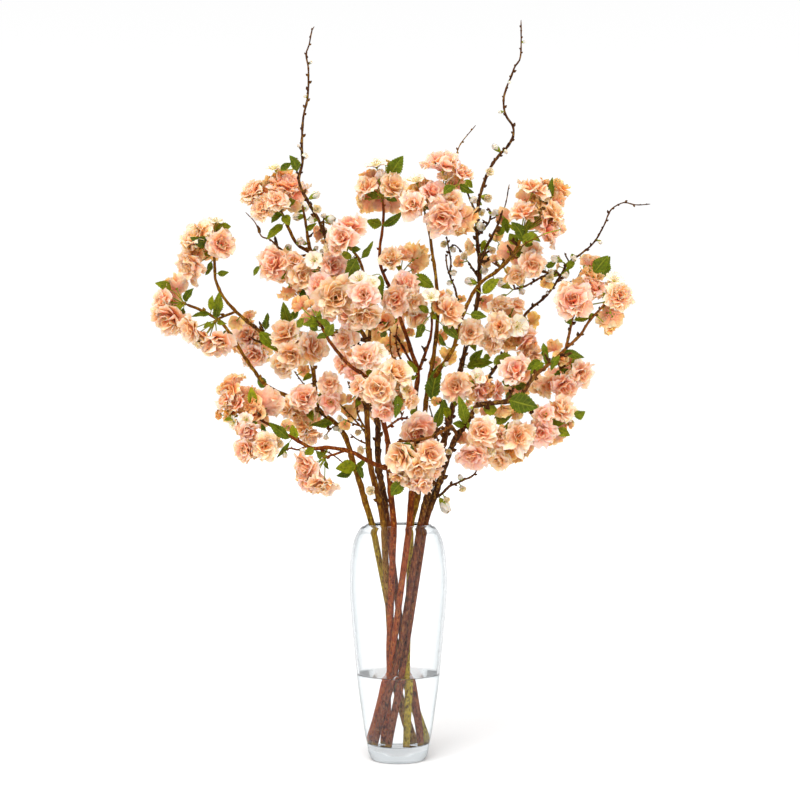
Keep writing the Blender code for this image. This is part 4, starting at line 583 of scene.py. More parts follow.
# Blossoms in the shade of the others: x, z and radius
SHADED_BLOSSOMS = [
    (21, 670, 8), (132, 683, 8), (219, 673, 5), (224, 724, 6), (87, 628, 5), (-67, 492, 6), (96, 486, 5),
    (16, 583, 6), (99, 701, 11), (149, 694, 12), (144, 741, 11), (121, 679, 8), (155, 660, 11),
    (183, 597, 12), (-148, 638, 15), (-135, 620, 12), (-140, 653, 12), (-109, 719, 10), (-99, 705, 7),
    (-83, 492, 12), (-68, 472, 12), (-50, 488, 11), (-32, 470, 8), (-13, 565, 11), (-1, 579, 11),
    (8, 561, 8), (-5, 555, 10), (58, 576, 10), (68, 550, 10), (51, 541, 8), (143, 477, 12),
    (162, 472, 10), (118, 475, 7), (187, 475, 8), (237, 542, 10), (118, 624, 12), (53, 488, 7),
    (87, 440, 10), (-222, 597, 10), (164, 410, 8), (-152, 455, 8), (-94, 734, 7), (235, 457, 7),
    (289, 586, 8), (-17, 814, 7), (-110, 467, 7), (-245, 470, 7), (203, 650, 8), (136, 715, 8),
    (-130, 530, 10), (-122, 620, 8), (84, 679, 8), (-73, 456, 7)]

# Buds close to the bare twigs: x, z and radius
TWIG_BUDS = [
    (127, 695, 4.2), (114, 728, 4.2), (98, 652, 5.1), (142, 649, 5.9), (117, 665, 3.4), (166, 650, 5.1),
    (169, 638, 3.4), (128, 745, 3.4), (114, 747, 4.2), (216, 683, 5.9), (-117, 736, 4.2),
    (-110, 753, 3.4), (-92, 739, 4.2), (-129, 705, 3.4), (-113, 697, 3.4), (-103, 694, 3.4),
    (-80, 464, 4.2), (-80, 449, 3.4), (101, 479, 4.2), (210, 665, 4.2), (110, 760, 3.4), (121, 766, 5.9),
    (-98, 720, 4.2), (143, 632, 3.4), (65, 539, 3.4), (77, 515, 3.4)]

# Small leaves deep in the crown: x and z of the base, x and z of the tip, and width
SHADED_LEAVES = [
    (280, 657, 289, 687, 14), (117, 543, 129, 552, 9), (-146, 600, -136, 613, 10), (91, 791, 102, 780, 9),
    (-161, 805, -145, 814, 9), (146, 739, 149, 717, 12), (138, 704, 140, 687, 8), (118, 709, 114, 693, 8),
    (139, 715, 144, 728, 11), (116, 479, 135, 477, 16), (225, 557, 255, 548, 10),
    (237, 533, 247, 553, 12), (202, 673, 216, 678, 10), (209, 660, 218, 668, 11),
    (-63, 393, -85, 386, 10), (-256, 612, -255, 635, 8), (-58, 399, -44, 411, 8), (61, 490, 68, 479, 10),
    (69, 464, 61, 485, 11), (-44, 493, -28, 488, 12), (-53, 494, -59, 479, 8), (-2, 575, 1, 559, 11),
    (1, 542, 8, 529, 11), (155, 658, 169, 665, 11), (231, 671, 224, 658, 11), (242, 679, 237, 690, 8),
    (-120, 605, -104, 590, 11), (-130, 602, -140, 589, 10), (-110, 585, -122, 597, 10),
    (-94, 590, -107, 602, 10), (65, 564, 57, 581, 8), (131, 657, 123, 638, 12), (194, 544, 176, 531, 12),
    (200, 549, 200, 568, 10), (-135, 671, -124, 679, 8), (30, 586, 24, 575, 10), (255, 679, 262, 665, 10)]

# Short dark twigs on the wood in the heart of the crown, which also darken it as painted
# shade: how many, between which heights and widths, how long and how thick
SHORT_TWIGS = 90
HEART_HEIGHTS = (440, 740)
HEART_WIDTHS = (-210, 250)
TWIG_LENGTHS = (9, 22)
TWIG_RADII = (1.2, 2.4)

# The branches with warmer bark than the rest of their dark stem, and where along x the
# stem itself grows warmer
WARM_BRANCHES = ("olive_branch", "olive_spur", "right_fork", "fork_spur")
WARM_FROM, WARM_TO = 150, 220

# The petals of a blossom, whorl by whorl from the outside, as parts of its radius and
# in degrees: number, length, half width, slope at the base and at the tip, cup, height
# of the base, depth of colour at the base and at the tip, rows and columns
# The depth of colour is partly the blossom's own deeper heart and partly painted shade in its folds
DOUBLE_WHORLS = [
    (6, 1.12, 0.54, 50, -14, 26, -0.38, 0.62, 0.10, 5, 6),
    (7, 1.04, 0.50, 58, 8, 34, -0.36, 0.72, 0.12, 5, 5),
    (6, 0.92, 0.46, 68, 26, 40, -0.33, 0.84, 0.16, 5, 4),
    (6, 0.80, 0.40, 78, 46, 50, -0.30, 0.94, 0.22, 4, 4),
    (4, 0.64, 0.34, 86, 70, 64, -0.28, 1.00, 0.34, 4, 3),
]
SMALL_WHORLS = [DOUBLE_WHORLS[0], DOUBLE_WHORLS[1], DOUBLE_WHORLS[3], DOUBLE_WHORLS[4]]
FAR_WHORLS = DOUBLE_WHORLS[:3]
FILLING_WHORLS = [
    (6, 1.10, 0.56, 52, -8, 30, -0.38, 0.66, 0.14, 4, 4),
    (6, 0.98, 0.50, 64, 18, 38, -0.34, 0.82, 0.18, 4, 4),
    (5, 0.78, 0.42, 80, 50, 50, -0.30, 0.98, 0.30, 3, 3),
]
SINGLE_WHORLS = [(5, 1.10, 0.60, 40, 2, 28, -0.22, 0.16, 0.0, 5, 6)]
HALF_OPEN_WHORLS = [
    (5, 1.15, 0.60, 66, 40, 46, -0.45, 0.14, 0.0, 5, 5),
    (4, 1.00, 0.50, 80, 66, 50, -0.42, 0.20, 0.04, 4, 4),
]
BUD_WHORLS = [
    (4, 2.3, 1.00, 48, 134, 74, -1.0, 0.20, 0.02, 6, 4),
    (3, 2.2, 0.80, 60, 124, 70, -0.95, 0.20, 0.04, 5, 4),
]


def seen(x, z, depth):
    """The point that lies at this depth and is seen at x, z on the plane of the vase."""
    grown = 1 + depth / EYE_DISTANCE
    return np.array([EYE_X + (x - EYE_X) * grown, depth, EYE_Z + (z - EYE_Z) * grown])


def fanned(points, lean):
    """A path through the crown, spread out in depth and leaning back above the mouth."""
    path = []
    for x, z, depth in points:
        rise = max(z - FAN_START, 0)
        share = min(rise / FAN_HEIGHT, 1)
        path.append(seen(x, z, depth * (1 + (FAN - 1) * share) + lean * rise))
    return path


def unit(vector):
    """The vector at length one."""
    return vector / np.linalg.norm(vector)


def side_of(direction):
    """A unit vector square to the direction."""
    across = BACK if abs(direction[1]) < 0.9 * np.linalg.norm(direction) else RIGHT
    return unit(np.cross(direction, across))


def eased(t, start, leaving, end, arriving):
    """Points at the parts t of a smooth curve, from its ends and its pace at each."""
    return ((2 * t**3 - 3 * t**2 + 1) * start + (t**3 - 2 * t**2 + t) * leaving
            + (3 * t**2 - 2 * t**3) * end + (t**3 - t**2) * arriving)


def smoothed(path, step):
    """Points about a step apart on a smooth curve through the points of a path."""
    path = [np.asarray(p, float) for p in path]
    padded = [2 * path[0] - path[1]] + path + [2 * path[-1] - path[-2]]
    points = []
    for p0, p1, p2, p3 in zip(padded, padded[1:], padded[2:], padded[3:]):
        before, span, after = (np.linalg.norm(b - a) for a, b in ((p0, p1), (p1, p2), (p2, p3)))
        start = (p2 - p0) * span / (before + span)
        end = (p3 - p1) * span / (span + after)
        count = max(1, round(span / step))
        t = (np.arange(count) / count)[:, None]
        points.append(eased(t, p1, start, p2, end))
    return np.concatenate(points + [path[-1][None]])


def lengths(path):
    """How far along the path each of its points lies."""
    return np.concatenate([[0], np.cumsum(np.linalg.norm(np.diff(path, axis=0), axis=1))])


def linked(name, data):
    """A new object of the scene that shows this data."""
    thing = bpy.data.objects.new(name, data)
    bpy.context.scene.collection.objects.link(thing)
    return thing


class Gathered:
    """Points, faces and paint of one piece, in millimetres.

    A face has four corners, or three and a -1. Each point has a paint of four values,
    which each look reads in its own way, and a place of three, (across, along, random)."""

    def __init__(self):
        self.points, self.faces, self.paint, self.place, self.rims = [], [], [], [], []
        self.count = 0

    def add(self, points, faces, paint, place, rim=None):
        """More points and faces; the edges along a rim are sharp."""
        total = len(points)
        self.points.append(points)
        self.faces.append(np.where(faces < 0, -1, faces + self.count))
        self.paint.append(np.broadcast_to(paint, (total, 4)))
        self.place.append(np.broadcast_to(place, (total, 3)))
        self.rims.append(np.zeros(total, bool) if rim is None else rim)
        self.count += total

    def build(self, name, slot, looks, *nodes):
        """The piece as an object that rides on the part and stands for the nodes."""
        points = np.concatenate(self.points) * MM
        faces = np.concatenate(self.faces)
        used = faces >= 0
        corners = faces[used]
        totals = used.sum(1)
        mesh = bpy.data.meshes.new(name)
        mesh.vertices.add(len(points))
        mesh.vertices.foreach_set("co", points.astype(np.float32).ravel())
        mesh.loops.add(len(corners))
        mesh.loops.foreach_set("vertex_index", corners.astype(np.int32))
        mesh.polygons.add(len(faces))
        starts = np.concatenate([[0], np.cumsum(totals)[:-1]])
        mesh.polygons.foreach_set("loop_start", starts.astype(np.int32))
        mesh.polygons.foreach_set("use_smooth", np.ones(len(faces), bool))
        mesh.update(calc_edges=True)
        ends = np.empty(len(mesh.edges) * 2, np.int32)
        mesh.edges.foreach_get("vertices", ends)
        sharp = np.concatenate(self.rims)[ends].reshape(-1, 2).all(1)
        mesh.attributes.new("sharp_edge", "BOOLEAN", "EDGE").data.foreach_set("value", sharp)
        paint = mesh.attributes.new("paint", "FLOAT_COLOR", "POINT")
        paint.data.foreach_set("color", np.concatenate(self.paint).astype(np.float32).ravel())
        place = mesh.attributes.new("place", "FLOAT_VECTOR", "POINT")
        place.data.foreach_set("vector", np.concatenate(self.place).astype(np.float32).ravel())
        mesh.materials.append(looks[slot])
        piece = linked(name, mesh)
        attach(piece, "root")
        if nodes:
            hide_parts(*nodes)


# The slot of each sort of part that a branch or a spray has
PART_SLOTS = {"petals": "petal", "twigs": "dark_bark", "buds": "small_blossom", "leaves": "leaf",
              "stalks": "green_stalk", "stamens": "stamen"}


def build_parts(name, looks, **parts):
    """A piece for each sort of part that has any points."""
    for word, gathered in parts.items():
        if gathered.count:
            gathered.build(f"{name}_{word}", PART_SLOTS[word], looks)


def ring_faces(rings, sides):
    """Faces between rings of points, from the first ring to the last."""
    k = np.arange(sides)
    first = np.arange(rings - 1)[:, None] * sides
    after = (k + 1) % sides
    quads = [first + k, first + after, first + after + sides, first + k + sides]
    return np.stack(np.broadcast_arrays(*quads), -1).reshape(-1, 4)


def closed_faces(rings, sides):
    """Faces between rings, and from the outer rings to the two points that follow them."""
    k = np.arange(sides)
    after = (k + 1) % sides
    top = (rings - 1) * sides
    middle, none = np.full(sides, rings * sides), np.full(sides, -1)
    low = np.stack([after, k, middle, none], 1)
    high = np.stack([top + k, top + after, middle + 1, none], 1)
    return np.concatenate([ring_faces(rings, sides), low, high])


def tube(gathered, path, radii, sides, paint, random=0.0, rough=0.0):
    """A round bar along a path, closed at both ends."""
    path = np.asarray(path, float)
    radii = np.asarray(radii, float)
    count = len(path)
    along = np.gradient(path, axis=0)
    along /= np.linalg.norm(along, axis=1)[:, None]
    side = side_of(along[0])
    frames = []
    for heading in along:
        side = unit(side - heading * (side @ heading))
        frames.append((side, np.cross(heading, side)))
    frames = np.array(frames)
    angles = math.tau * np.arange(sides) / sides
    gone = lengths(path)
    spread = radii[:, None] * np.ones(sides)
    if np.any(rough):
        wave = np.sin(gone[:, None] / 5.3 + 2 * angles + random * 40)
        wave += np.sin(gone[:, None] / 2.9 - 3 * angles + random * 90)
        spread *= 1 + rough * wave / 2
    rings = path[:, None] + spread[..., None] * (
        frames[:, None, 0] * np.cos(angles)[:, None] + frames[:, None, 1] * np.sin(angles)[:, None])
    points = np.concatenate([rings.reshape(-1, 3), path[:1], path[-1:]])
    place = np.zeros((len(points), 3))
    place[:-2, 0] = np.tile(np.arange(sides) / sides, count)
    place[:-2, 1] = np.repeat(gone, sides)
    place[-1, 1] = gone[-1]
    place[:, 2] = random
    values = np.broadcast_to(paint, (count, 4))
    values = np.concatenate([np.repeat(values, sides, 0), values[:1], values[-1:]])
    gathered.add(points, closed_faces(count, sides), values, place)


def blade_faces(rows, columns):
    """Faces of a thin closed blade, upper side then underside, which share their rim."""
    upper = np.arange((rows + 1) * (columns + 1)).reshape(rows + 1, columns + 1)
    inner = np.arange((rows - 1) * (columns - 1)).reshape(rows - 1, columns - 1) + upper.size
    lower = upper.copy()
    lower[1:-1, 1:-1] = inner

    def quads(grid):
        corners = [grid[:-1, :-1], grid[1:, :-1], grid[1:, 1:], grid[:-1, 1:]]
        return np.stack(corners, -1).reshape(-1, 4)

    rim = np.ones(upper.size + inner.size, bool)
    rim[upper[1:-1, 1:-1]] = False
    rim[inner] = False
    return np.concatenate([quads(upper), quads(lower)[:, ::-1]]), rim


def add_blades(gathered, upper, normal, thickness, paint, place):
    """Closed blades from grids of points (blade, row, column) and their normals."""
    blades, rows, columns = upper.shape[:3]
    faces, rim = blade_faces(rows - 1, columns - 1)
    lower = (upper - normal * thickness[..., None])[:, 1:-1, 1:-1]

    def both(values):
        flat = values.reshape(blades, rows * columns, -1)
        inside = values[:, 1:-1, 1:-1].reshape(blades, -1, values.shape[-1])
        return np.concatenate([flat, inside], 1).reshape(-1, values.shape[-1])

    points = np.concatenate([upper.reshape(blades, -1, 3), lower.reshape(blades, -1, 3)], 1)
    each = points.shape[1]
    faces = (faces[None] + each * np.arange(blades)[:, None, None]).reshape(-1, 4)
    gathered.add(points.reshape(-1, 3), faces, both(paint), both(place), np.tile(rim, blades))


def add_whorl(gathered, whorl, centre, frame_of, radius, turn, tint, rng, openness=0.0, ruffle=0.5):
    """A ring of petals round the axis of a blossom."""
    count, length, half, low, high, cup, base, deep_low, deep_high, rows, columns = whorl
    side, other, axis = frame_of
    shape = (count, 1, 1)

    def drawn(spread):
        return rng.uniform(-spread, spread, count).reshape(shape)

    v = np.linspace(0, 1, rows + 1)[None, :, None] ** 0.9
    u = np.linspace(-1, 1, columns + 1)[None, None, :]
    phi = (turn + math.tau * np.arange(count) / count).reshape(shape) + drawn(0.26) * ruffle
    slope = math.radians(low) + drawn(0.20) * ruffle + openness * 0.3
    bend = math.radians(high) + drawn(0.45) * ruffle + openness - slope
    bend = np.where(np.abs(bend) < 0.02, 0.02, bend)
    long = length * (1 + drawn(0.12) * ruffle)
    wide = half * (1 + drawn(0.14))
    notch = 0.16 * rng.uniform(0, 1, count).reshape(shape)
    reach = v * (1 - 0.20 * np.abs(u) ** 2.4 * v - notch * np.exp(-(u / 0.22) ** 2) * v**6)
    reach = reach + 0.035 * ruffle * np.sin(8.3 * u + drawn(3)) * v**3
    angle = slope + bend * reach
    out = 0.06 + long * (np.sin(angle) - np.sin(slope)) / bend
    rise = base + long * (np.cos(slope) - np.cos(angle)) / bend
    breadth = wide * (0.24 + 0.76 * np.sin(np.minimum(v / 0.72, 1) * math.pi / 2))
    breadth = breadth * (1 - 0.22 * np.clip((v - 0.72) / 0.28, 0, 1) ** 2)
    curl = math.radians(cup) * (1 + drawn(0.6) * ruffle) + 0.001
    sideways = breadth * np.sin(curl * u) / curl
    lift = breadth * (1 - np.cos(curl * u)) / curl
    waves = 0.085 * v**1.6 * np.sin(u * (3.6 + drawn(1.2)) + drawn(3))
    waves = waves + 0.075 * v**2.5 * np.sin(u * (7.0 + drawn(2)) + drawn(3))
    waves = waves + 0.05 * v**2 * np.sin(v * 7 + drawn(3))
    lift = lift + waves * length * ruffle + sideways * drawn(0.55) * v * ruffle
    e_out = np.cos(phi)[..., None] * side + np.sin(phi)[..., None] * other
    e_side = -np.sin(phi)[..., None] * side + np.cos(phi)[..., None] * other
    normal = np.cos(angle)[..., None] * axis - np.sin(angle)[..., None] * e_out
    upper = centre + radius * (
        out[..., None] * e_out + rise[..., None] * axis
        + sideways[..., None] * e_side + lift[..., None] * normal)
    tilted = normal * np.cos(curl * u)[..., None] - e_side * np.sin(curl * u)[..., None]
    thickness = (0.32 + 0.010 * radius) * (1 - u**2) * (1 - v**4) + 0 * phi
    # Colour deepens toward the base and on inner whorls: partly the heart's own colour, partly painted
    # shade in the folds
    fold_colour_and_shade = deep_low + (deep_high - deep_low) * v**0.75 + 0 * u + drawn(0.10)
    paint = np.stack(np.broadcast_arrays(fold_colour_and_shade, tint[0] + drawn(0.12), tint[1], tint[2]), -1)
    spot = rng.uniform(0, 1, count).reshape(shape)
    place = np.stack(np.broadcast_arrays(u + 0 * v + 0 * phi, v + 0 * u, spot), -1)
    add_blades(gathered, upper, tilted, thickness, paint, place)


def frame_along(axis, turn):
    """Two unit vectors square to an axis, and the axis."""
    square = side_of(axis)
    side = square * math.cos(turn) + np.cross(axis, square) * math.sin(turn)
    return side, np.cross(axis, side), axis


def curved(start, heading, end, arrival, count):
    """A smooth path from a start to an end, leaving and arriving along two headings."""
    far = np.linalg.norm(end - start)
    t = np.linspace(0, 1, count)[:, None]
    return eased(t, start, heading * far, end, arrival * far)


def add_stamens(gathered, centre, frame_of, radius, count, height, spread, rng):
    """Thin filaments with an anther each, spreading from the middle of a blossom."""
    side, other, axis = frame_of
    for k in range(count):
        turn = k * GOLDEN_ANGLE
        lean = spread * math.sqrt((k + 0.5) / count)
        way = side * math.cos(turn) + other * math.sin(turn)
        tall = radius * height * rng.uniform(0.8, 1.1)
        start = centre + way * 0.06 * radius
        end = start + axis * tall * math.cos(lean) + way * tall * math.sin(lean)
        path = curved(start, axis, end, unit(way + axis), 4)
        thin = max(0.16, 0.012 * radius)
        tube(gathered, path, [thin] * 4, 3, (0.2, 0, 0, 0), rng.uniform())
        ball = max(0.5, 0.042 * radius)
        grain = end + np.outer([-1, -0.5, 0.5, 1], unit(way + axis)) * ball
        tube(gathered, grain, [0.15 * ball, ball, ball, 0.15 * ball], 4, (1, 0, 0, 0), rng.uniform())


def add_calyx(greens, root, centre, frame_of, radius, low, rng):
    """The stalk of a blossom, the cup at its end and five sepals."""
    side, _, axis = frame_of
    neck = centre + axis * low * radius
    apart = (neck - root) @ axis > 0 or np.linalg.norm(neck - root) > 0.5 * radius
    tone = (rng.uniform(0, 1), rng.uniform(0, 1), 0, 0)
    if apart:
        start = unit(unit(neck - root) + side * rng.uniform(-0.4, 0.4))
        path = curved(root, start, neck, axis, 6)
        tube(greens, path, np.linspace(*STALK_RADII, 6), 5, tone, rng.uniform())
    if low == BUD_LOW:
        sepals = (5, 1.5, 0.50, 46, 100, 50, low - 0.08, 0.5, 0.2, 4, 2)
        share, grown = 0.30, 1.12
    else:
        sepals = (5, 0.42, 0.13, 62, 8, 20, low - 0.02, 0.5, 0.2, 3, 2)
        share, grown = 0.12, 1.02
    cup = max(share * radius, 1.2)
    tube(greens, neck + (CALYX_HEIGHTS * cup)[:, None] * axis, CALYX_WIDTHS * cup, 6, tone, rng.uniform())
    turn = rng.uniform(0, 6)
    add_whorl(greens, sepals, centre, frame_of, radius * grown, turn, (tone[0], 0, 0), rng)


def add_blossom(made, kind, centre, facing, radius, turn, root, rng, tint):
    """One blossom or bud, opening along its facing, on a stalk from its root."""
    petals, greens, stamens = made
    axis = unit(facing)
    frame_of = frame_along(axis, turn)
    loose = rng.uniform(-LOOSENESS, LOOSENESS)
    low = -0.45
    ruffle = {BUD: 0.2, SINGLE: 0.5}.get(kind, RUFFLE)
    if kind == BUD:
        whorls, low = BUD_WHORLS, BUD_LOW
        radius *= BUD_GROWTH
    elif kind == SINGLE and radius < HALF_OPEN:
        whorls, low = HALF_OPEN_WHORLS, -0.5
        add_stamens(stamens, centre - axis * 0.3 * radius, frame_of, radius, 7, 1.0, 0.5, rng)
    elif kind == SINGLE or radius < SMALL_BLOSSOM and kind not in (AWAY, FILLING):
        whorls, low = SINGLE_WHORLS, -0.3
        if kind != SINGLE:
            whorls = FILLING_WHORLS[:2] + [DOUBLE_WHORLS[4]]
        add_stamens(stamens, centre - axis * 0.18 * radius, frame_of, radius, 16, 0.52, 0.9, rng)
    elif kind == FAR:
        whorls = FAR_WHORLS
    elif kind == FILLING:
        whorls = FILLING_WHORLS
    elif radius < LARGE_BLOSSOM:
        whorls = SMALL_WHORLS
    else:
        whorls = DOUBLE_WHORLS
    full = radius * (FULLNESS if ruffle == RUFFLE else 1)
    for k, whorl in enumerate(whorls):
        around = turn + WHORL_TURN * k
        add_whorl(petals, whorl, centre, frame_of, full, around, tint, rng, loose, ruffle)
    add_calyx(greens, root, centre, frame_of, radius, low, rng)


def add_leaf(gathered, greens, root, base, tip, width, rng):
    """A toothed blade with a folded rib, on a short stalk."""
    along = tip - base
    long = np.linalg.norm(along)
    heading = along / long
    across = unit(np.cross(heading, BACK))
    over = -np.cross(across, heading)
    roll = rng.uniform(-0.5, 0.5)
    across, over = (across * math.cos(roll) + over * math.sin(roll),
                    over * math.cos(roll) - across * math.sin(roll))
    small = long < SMALL_LEAF
    teeth_number = SMALL_LEAF_TEETH if small else LEAF_TEETH
    rows, columns = 3 * teeth_number, 4 if small else 6
    v = np.linspace(0, 1, rows + 1)[:, None]
    u = np.linspace(-1, 1, columns + 1)[None, :]
    outline = np.sin(math.pi * v**0.82) ** 0.80 * (1 - 0.25 * v**3)
    teeth = 1 - 0.20 * ((v * teeth_number + 1e-6) % 1) * np.abs(u) ** 3
    half = width / 2 * outline * teeth * 1.24
    fold = rng.uniform(0.15, 0.55)
    droop = rng.uniform(-0.08, 0.24)
    wave = rng.uniform(0.04, 0.09)
    height = long * LEAF_SAG * 4 * v * (1 - v) - droop * long * v**2 + 0 * u
    height = height + half * np.abs(u) * fold
    swing = np.sin(v * 11 + rng.uniform(0, 6) + u * 1.3)
    height = height + long * wave * swing * np.abs(u) ** 2 * outline
    vein = 0.018 * width * np.abs(np.sin((v * 6.5 - np.abs(u) * 1.3) * math.pi)) * outline
    height = height + vein * (1 - u**2)
    bow = rng.uniform(-0.09, 0.09) * long * 4 * v * (1 - v)
    sideways = half * u * math.cos(fold) + bow
    points = (base + v[..., None] * along + sideways[..., None] * across + height[..., None] * over)
    normal = np.broadcast_to(over, points.shape)
    thickness = 0.55 * (1 - u**2) * np.sin(math.pi * v) ** 0.5 + 0 * v
    tone = rng.uniform(0, 1)
    paint = np.broadcast_to((tone, rng.uniform(0, 1), 0, 0), points.shape[:2] + (4,))
    place = np.stack(np.broadcast_arrays(u + 0 * v, v + 0 * u, tone), -1)
    grid = [a[None] for a in (points[:, ::-1], normal, thickness, paint, place[:, ::-1])]
    add_blades(gathered, *grid)
    start = unit(base - root + 0.001 * UP)
    path = curved(root, start, base + along * 0.05, heading, 6)
    tube(greens, path, np.linspace(0.8, 0.6, 6), 5, (tone, 0.5, 0, 0), tone)


def add_wood(gathered, path, radii, dark, rng, foot=False, warm=0.0):
    """A stem, branch or twig with its joints, and the dark buds of a bare twig."""
    gone = lengths(path)
    step, least, most = DARK_JOINTS if dark else PLAIN_JOINTS
    sides = 12 if radii[0] > 2.6 else 9 if radii[0] > 1.5 else 7
    radii = np.array(radii, float)
    joints = np.arange(rng.uniform(3, step), gone[-1] - 2, step)
    joints = joints + rng.uniform(-0.3, 0.3, len(joints)) * step
    bare = np.ones(len(path))
    if foot:
        bare = np.clip((path[:, 2] - VASE_HEIGHT) / 60, 0.12, 1)
        joints = joints[np.interp(joints, gone, path[:, 2]) > VASE_HEIGHT + 20]
    for place in joints:
        size = rng.uniform(least, most)
        radii = radii * (1 + size * np.exp(-((gone - place) / (0.6 * radii.mean() + 1)) ** 2))
    wobble = rng.uniform(-1, 1, (len(path), 3)) * 0.06 * (radii * bare)[:, None]
    radii[-1] *= 0.55
    number = rng.uniform()
    paint = np.zeros((len(path), 4))
    paint[:, 0] = np.clip(gone / max(gone[-1], 1), 0, 1)
    paint[:, 1] = warm
    if foot:
        paint[0, 2] = 1
        # Painted light: bark inside the vase, and wet bark in the water, takes the brighter colours
        paint[:, 3] = np.interp(path[:, 2], WET_AND_LIT_HEIGHTS, WET_AND_LIT_SHARES)
    tube(gathered, path + wobble, radii, sides, paint, number, 0.12 * bare[:, None])
    for k, place in enumerate(joints if dark else joints[::3]):
        at = int(np.searchsorted(gone, place))
        at = min(max(at, 1), len(path) - 2)
        heading = unit(path[at + 1] - path[at - 1])
        side = frame_along(heading, k * GOLDEN_ANGLE + number * 6)[0]
        size = min(0.8 + 0.55 * radii[at], 2.6) * rng.uniform(0.6, 1.35)
        way = unit(heading * 0.9 + side)
        start = path[at] + side * radii[at] * 0.6
        spine = start + np.outer(np.linspace(0, 1, 5), way) * size * 2.6
        tube(gathered, spine, DARK_BUD_WIDTHS * size, 6, (0.8, 0, 0, 0), number)


def nearest(paths, x, z):
    """The point of the paths that is seen nearest to x, z."""
    points = np.concatenate(paths)
    grown = 1 + points[:, 1] / EYE_DISTANCE
    aside = EYE_X + (points[:, 0] - EYE_X) / grown - x
    above = EYE_Z + (points[:, 2] - EYE_Z) / grown - z
    return points[np.argmin(aside**2 + above**2)]


def add_leaves(leaves, greens, paths, table, rng):
    """Leaves on short stalks that grow from the nearest point of the paths."""
    for x0, z0, x1, z1, width, rise, lean in table:
        root = nearest(paths, x0, z0)
        base = seen(x0, z0, root[1] + rise)
        add_leaf(leaves, greens, root, base, seen(x1, z1, base[1] + lean), width, rng)


def ring_point(turn, radius, height):
    """A point at this turn, in degrees, round the middle of the vase."""
    angle = math.radians(turn)
    return np.array([math.cos(angle) * radius, math.sin(angle) * radius, height])


def standing_path(stem):
    """A stem's path from the base of the vase, through the waist, to the mouth."""
    low = ring_point(stem["turn"] + FOOT_TURN, STEM_FOOT_RING, STEM_FOOT_HEIGHT)
    mid = ring_point(stem["turn"], WAIST_RING, WAIST_HEIGHT)
    mouth = np.array([*stem["mouth"], VASE_HEIGHT], float)
    return [low, low * 0.75 + mid * 0.25, low * 0.25 + mid * 0.75, mid,
            mid * 0.8 + mouth * 0.2, mid * 0.2 + mouth * 0.8, mouth]


def make_stem(name, stem, looks, rng):
    """The wood, leaves, small blossoms and stalks of one stem, and the paths of its wood."""
    wood, leaves, flowers, greens, stamens = (Gathered() for _ in range(5))
    dark = stem["bark"] == "dark_bark"
    crown = fanned(stem["crown"], stem["lean"])
    main = smoothed(standing_path(stem) + crown, STEM_STEP)
    gone = lengths(main)
    mouth = gone[np.argmin(np.abs(main[:, 2] - VASE_HEIGHT))]
    share = np.clip((gone - mouth) / (gone[-1] - mouth), 0, 1)
    radii = STEM_RADIUS + (stem["end"] - STEM_RADIUS) * share
    warm = np.clip((main[:, 0] - WARM_FROM) / (WARM_TO - WARM_FROM), 0, 1) * (name == "stem_right")
    add_wood(wood, main, radii, dark, rng, True, warm)
    paths = {"crown": main}
    for branch, (start, end, points) in stem["branches"].items():
        path = smoothed(fanned(points, stem["lean"]), TWIG_STEP)
        paths[branch] = path
        share = lengths(path) / lengths(path)[-1]
        add_wood(wood, path, start + (end - start) * share, dark or start < BARE_TWIG, rng,
                 warm=float(dark and branch in WARM_BRANCHES))
    for start, end, points in FINE_TWIGS.get(name, []):
        path = smoothed(fanned(points, stem["lean"]), TWIG_STEP)
        paths[f"fine_{len(paths)}"] = path
        add_wood(wood, path, np.linspace(start, end, len(path)), True, rng)
    trees = [main[main[:, 2] > VASE_HEIGHT]] + list(paths.values())[1:]
    studs = STUDS.get(name, []) + [(*bud, BUD) for bud in SMALL_BUDS.get(name, [])]
    for k, (x, z, rise, radius, kind) in enumerate(studs):
        root = nearest(trees, x, z)
        centre = seen(x, z, root[1] + rise)
        facing = centre - root - BACK * radius / 2
        tint = (rng.uniform(0, 1), rng.uniform(0.7, 1), 0)
        add_blossom((flowers, greens, stamens), kind, centre, facing, radius,
                    k * GOLDEN_ANGLE, root, rng, tint)
    add_leaves(leaves, greens, trees, STEM_LEAVES.get(name, []), rng)
    wood.build(name + "_wood", stem["bark"], looks, name)
    build_parts(name, looks, leaves=leaves, buds=flowers, stalks=greens, stamens=stamens)
    return paths


def filling(blossoms, rng):
    """Smaller blossoms that show in the gaps between the ones of a cluster."""
    taken = [(x, z, r) for x, z, r, _ in blossoms]
    added = []
    for (x0, z0, r0, kind0), (x1, z1, r1, kind1) in itertools.combinations(blossoms, 2):
        apart = math.hypot(x1 - x0, z1 - z0)
        if BUD in (kind0, kind1) or apart > FILL_NEAR * (r0 + r1):
            continue
        radius = min(max(FILL_SHARE * (r0 + r1), FILL_RADII[0]), FILL_RADII[1])
        x, z = (x0 + x1) / 2 + rng.uniform(-3, 3), (z0 + z1) / 2 + rng.uniform(-3, 3)
        if all(math.hypot(x - a, z - b) > FILL_GAP * max(radius, c) for a, b, c in taken):
            added.append((x, z, radius, FILLING))
            taken.append((x, z, radius))
    return added


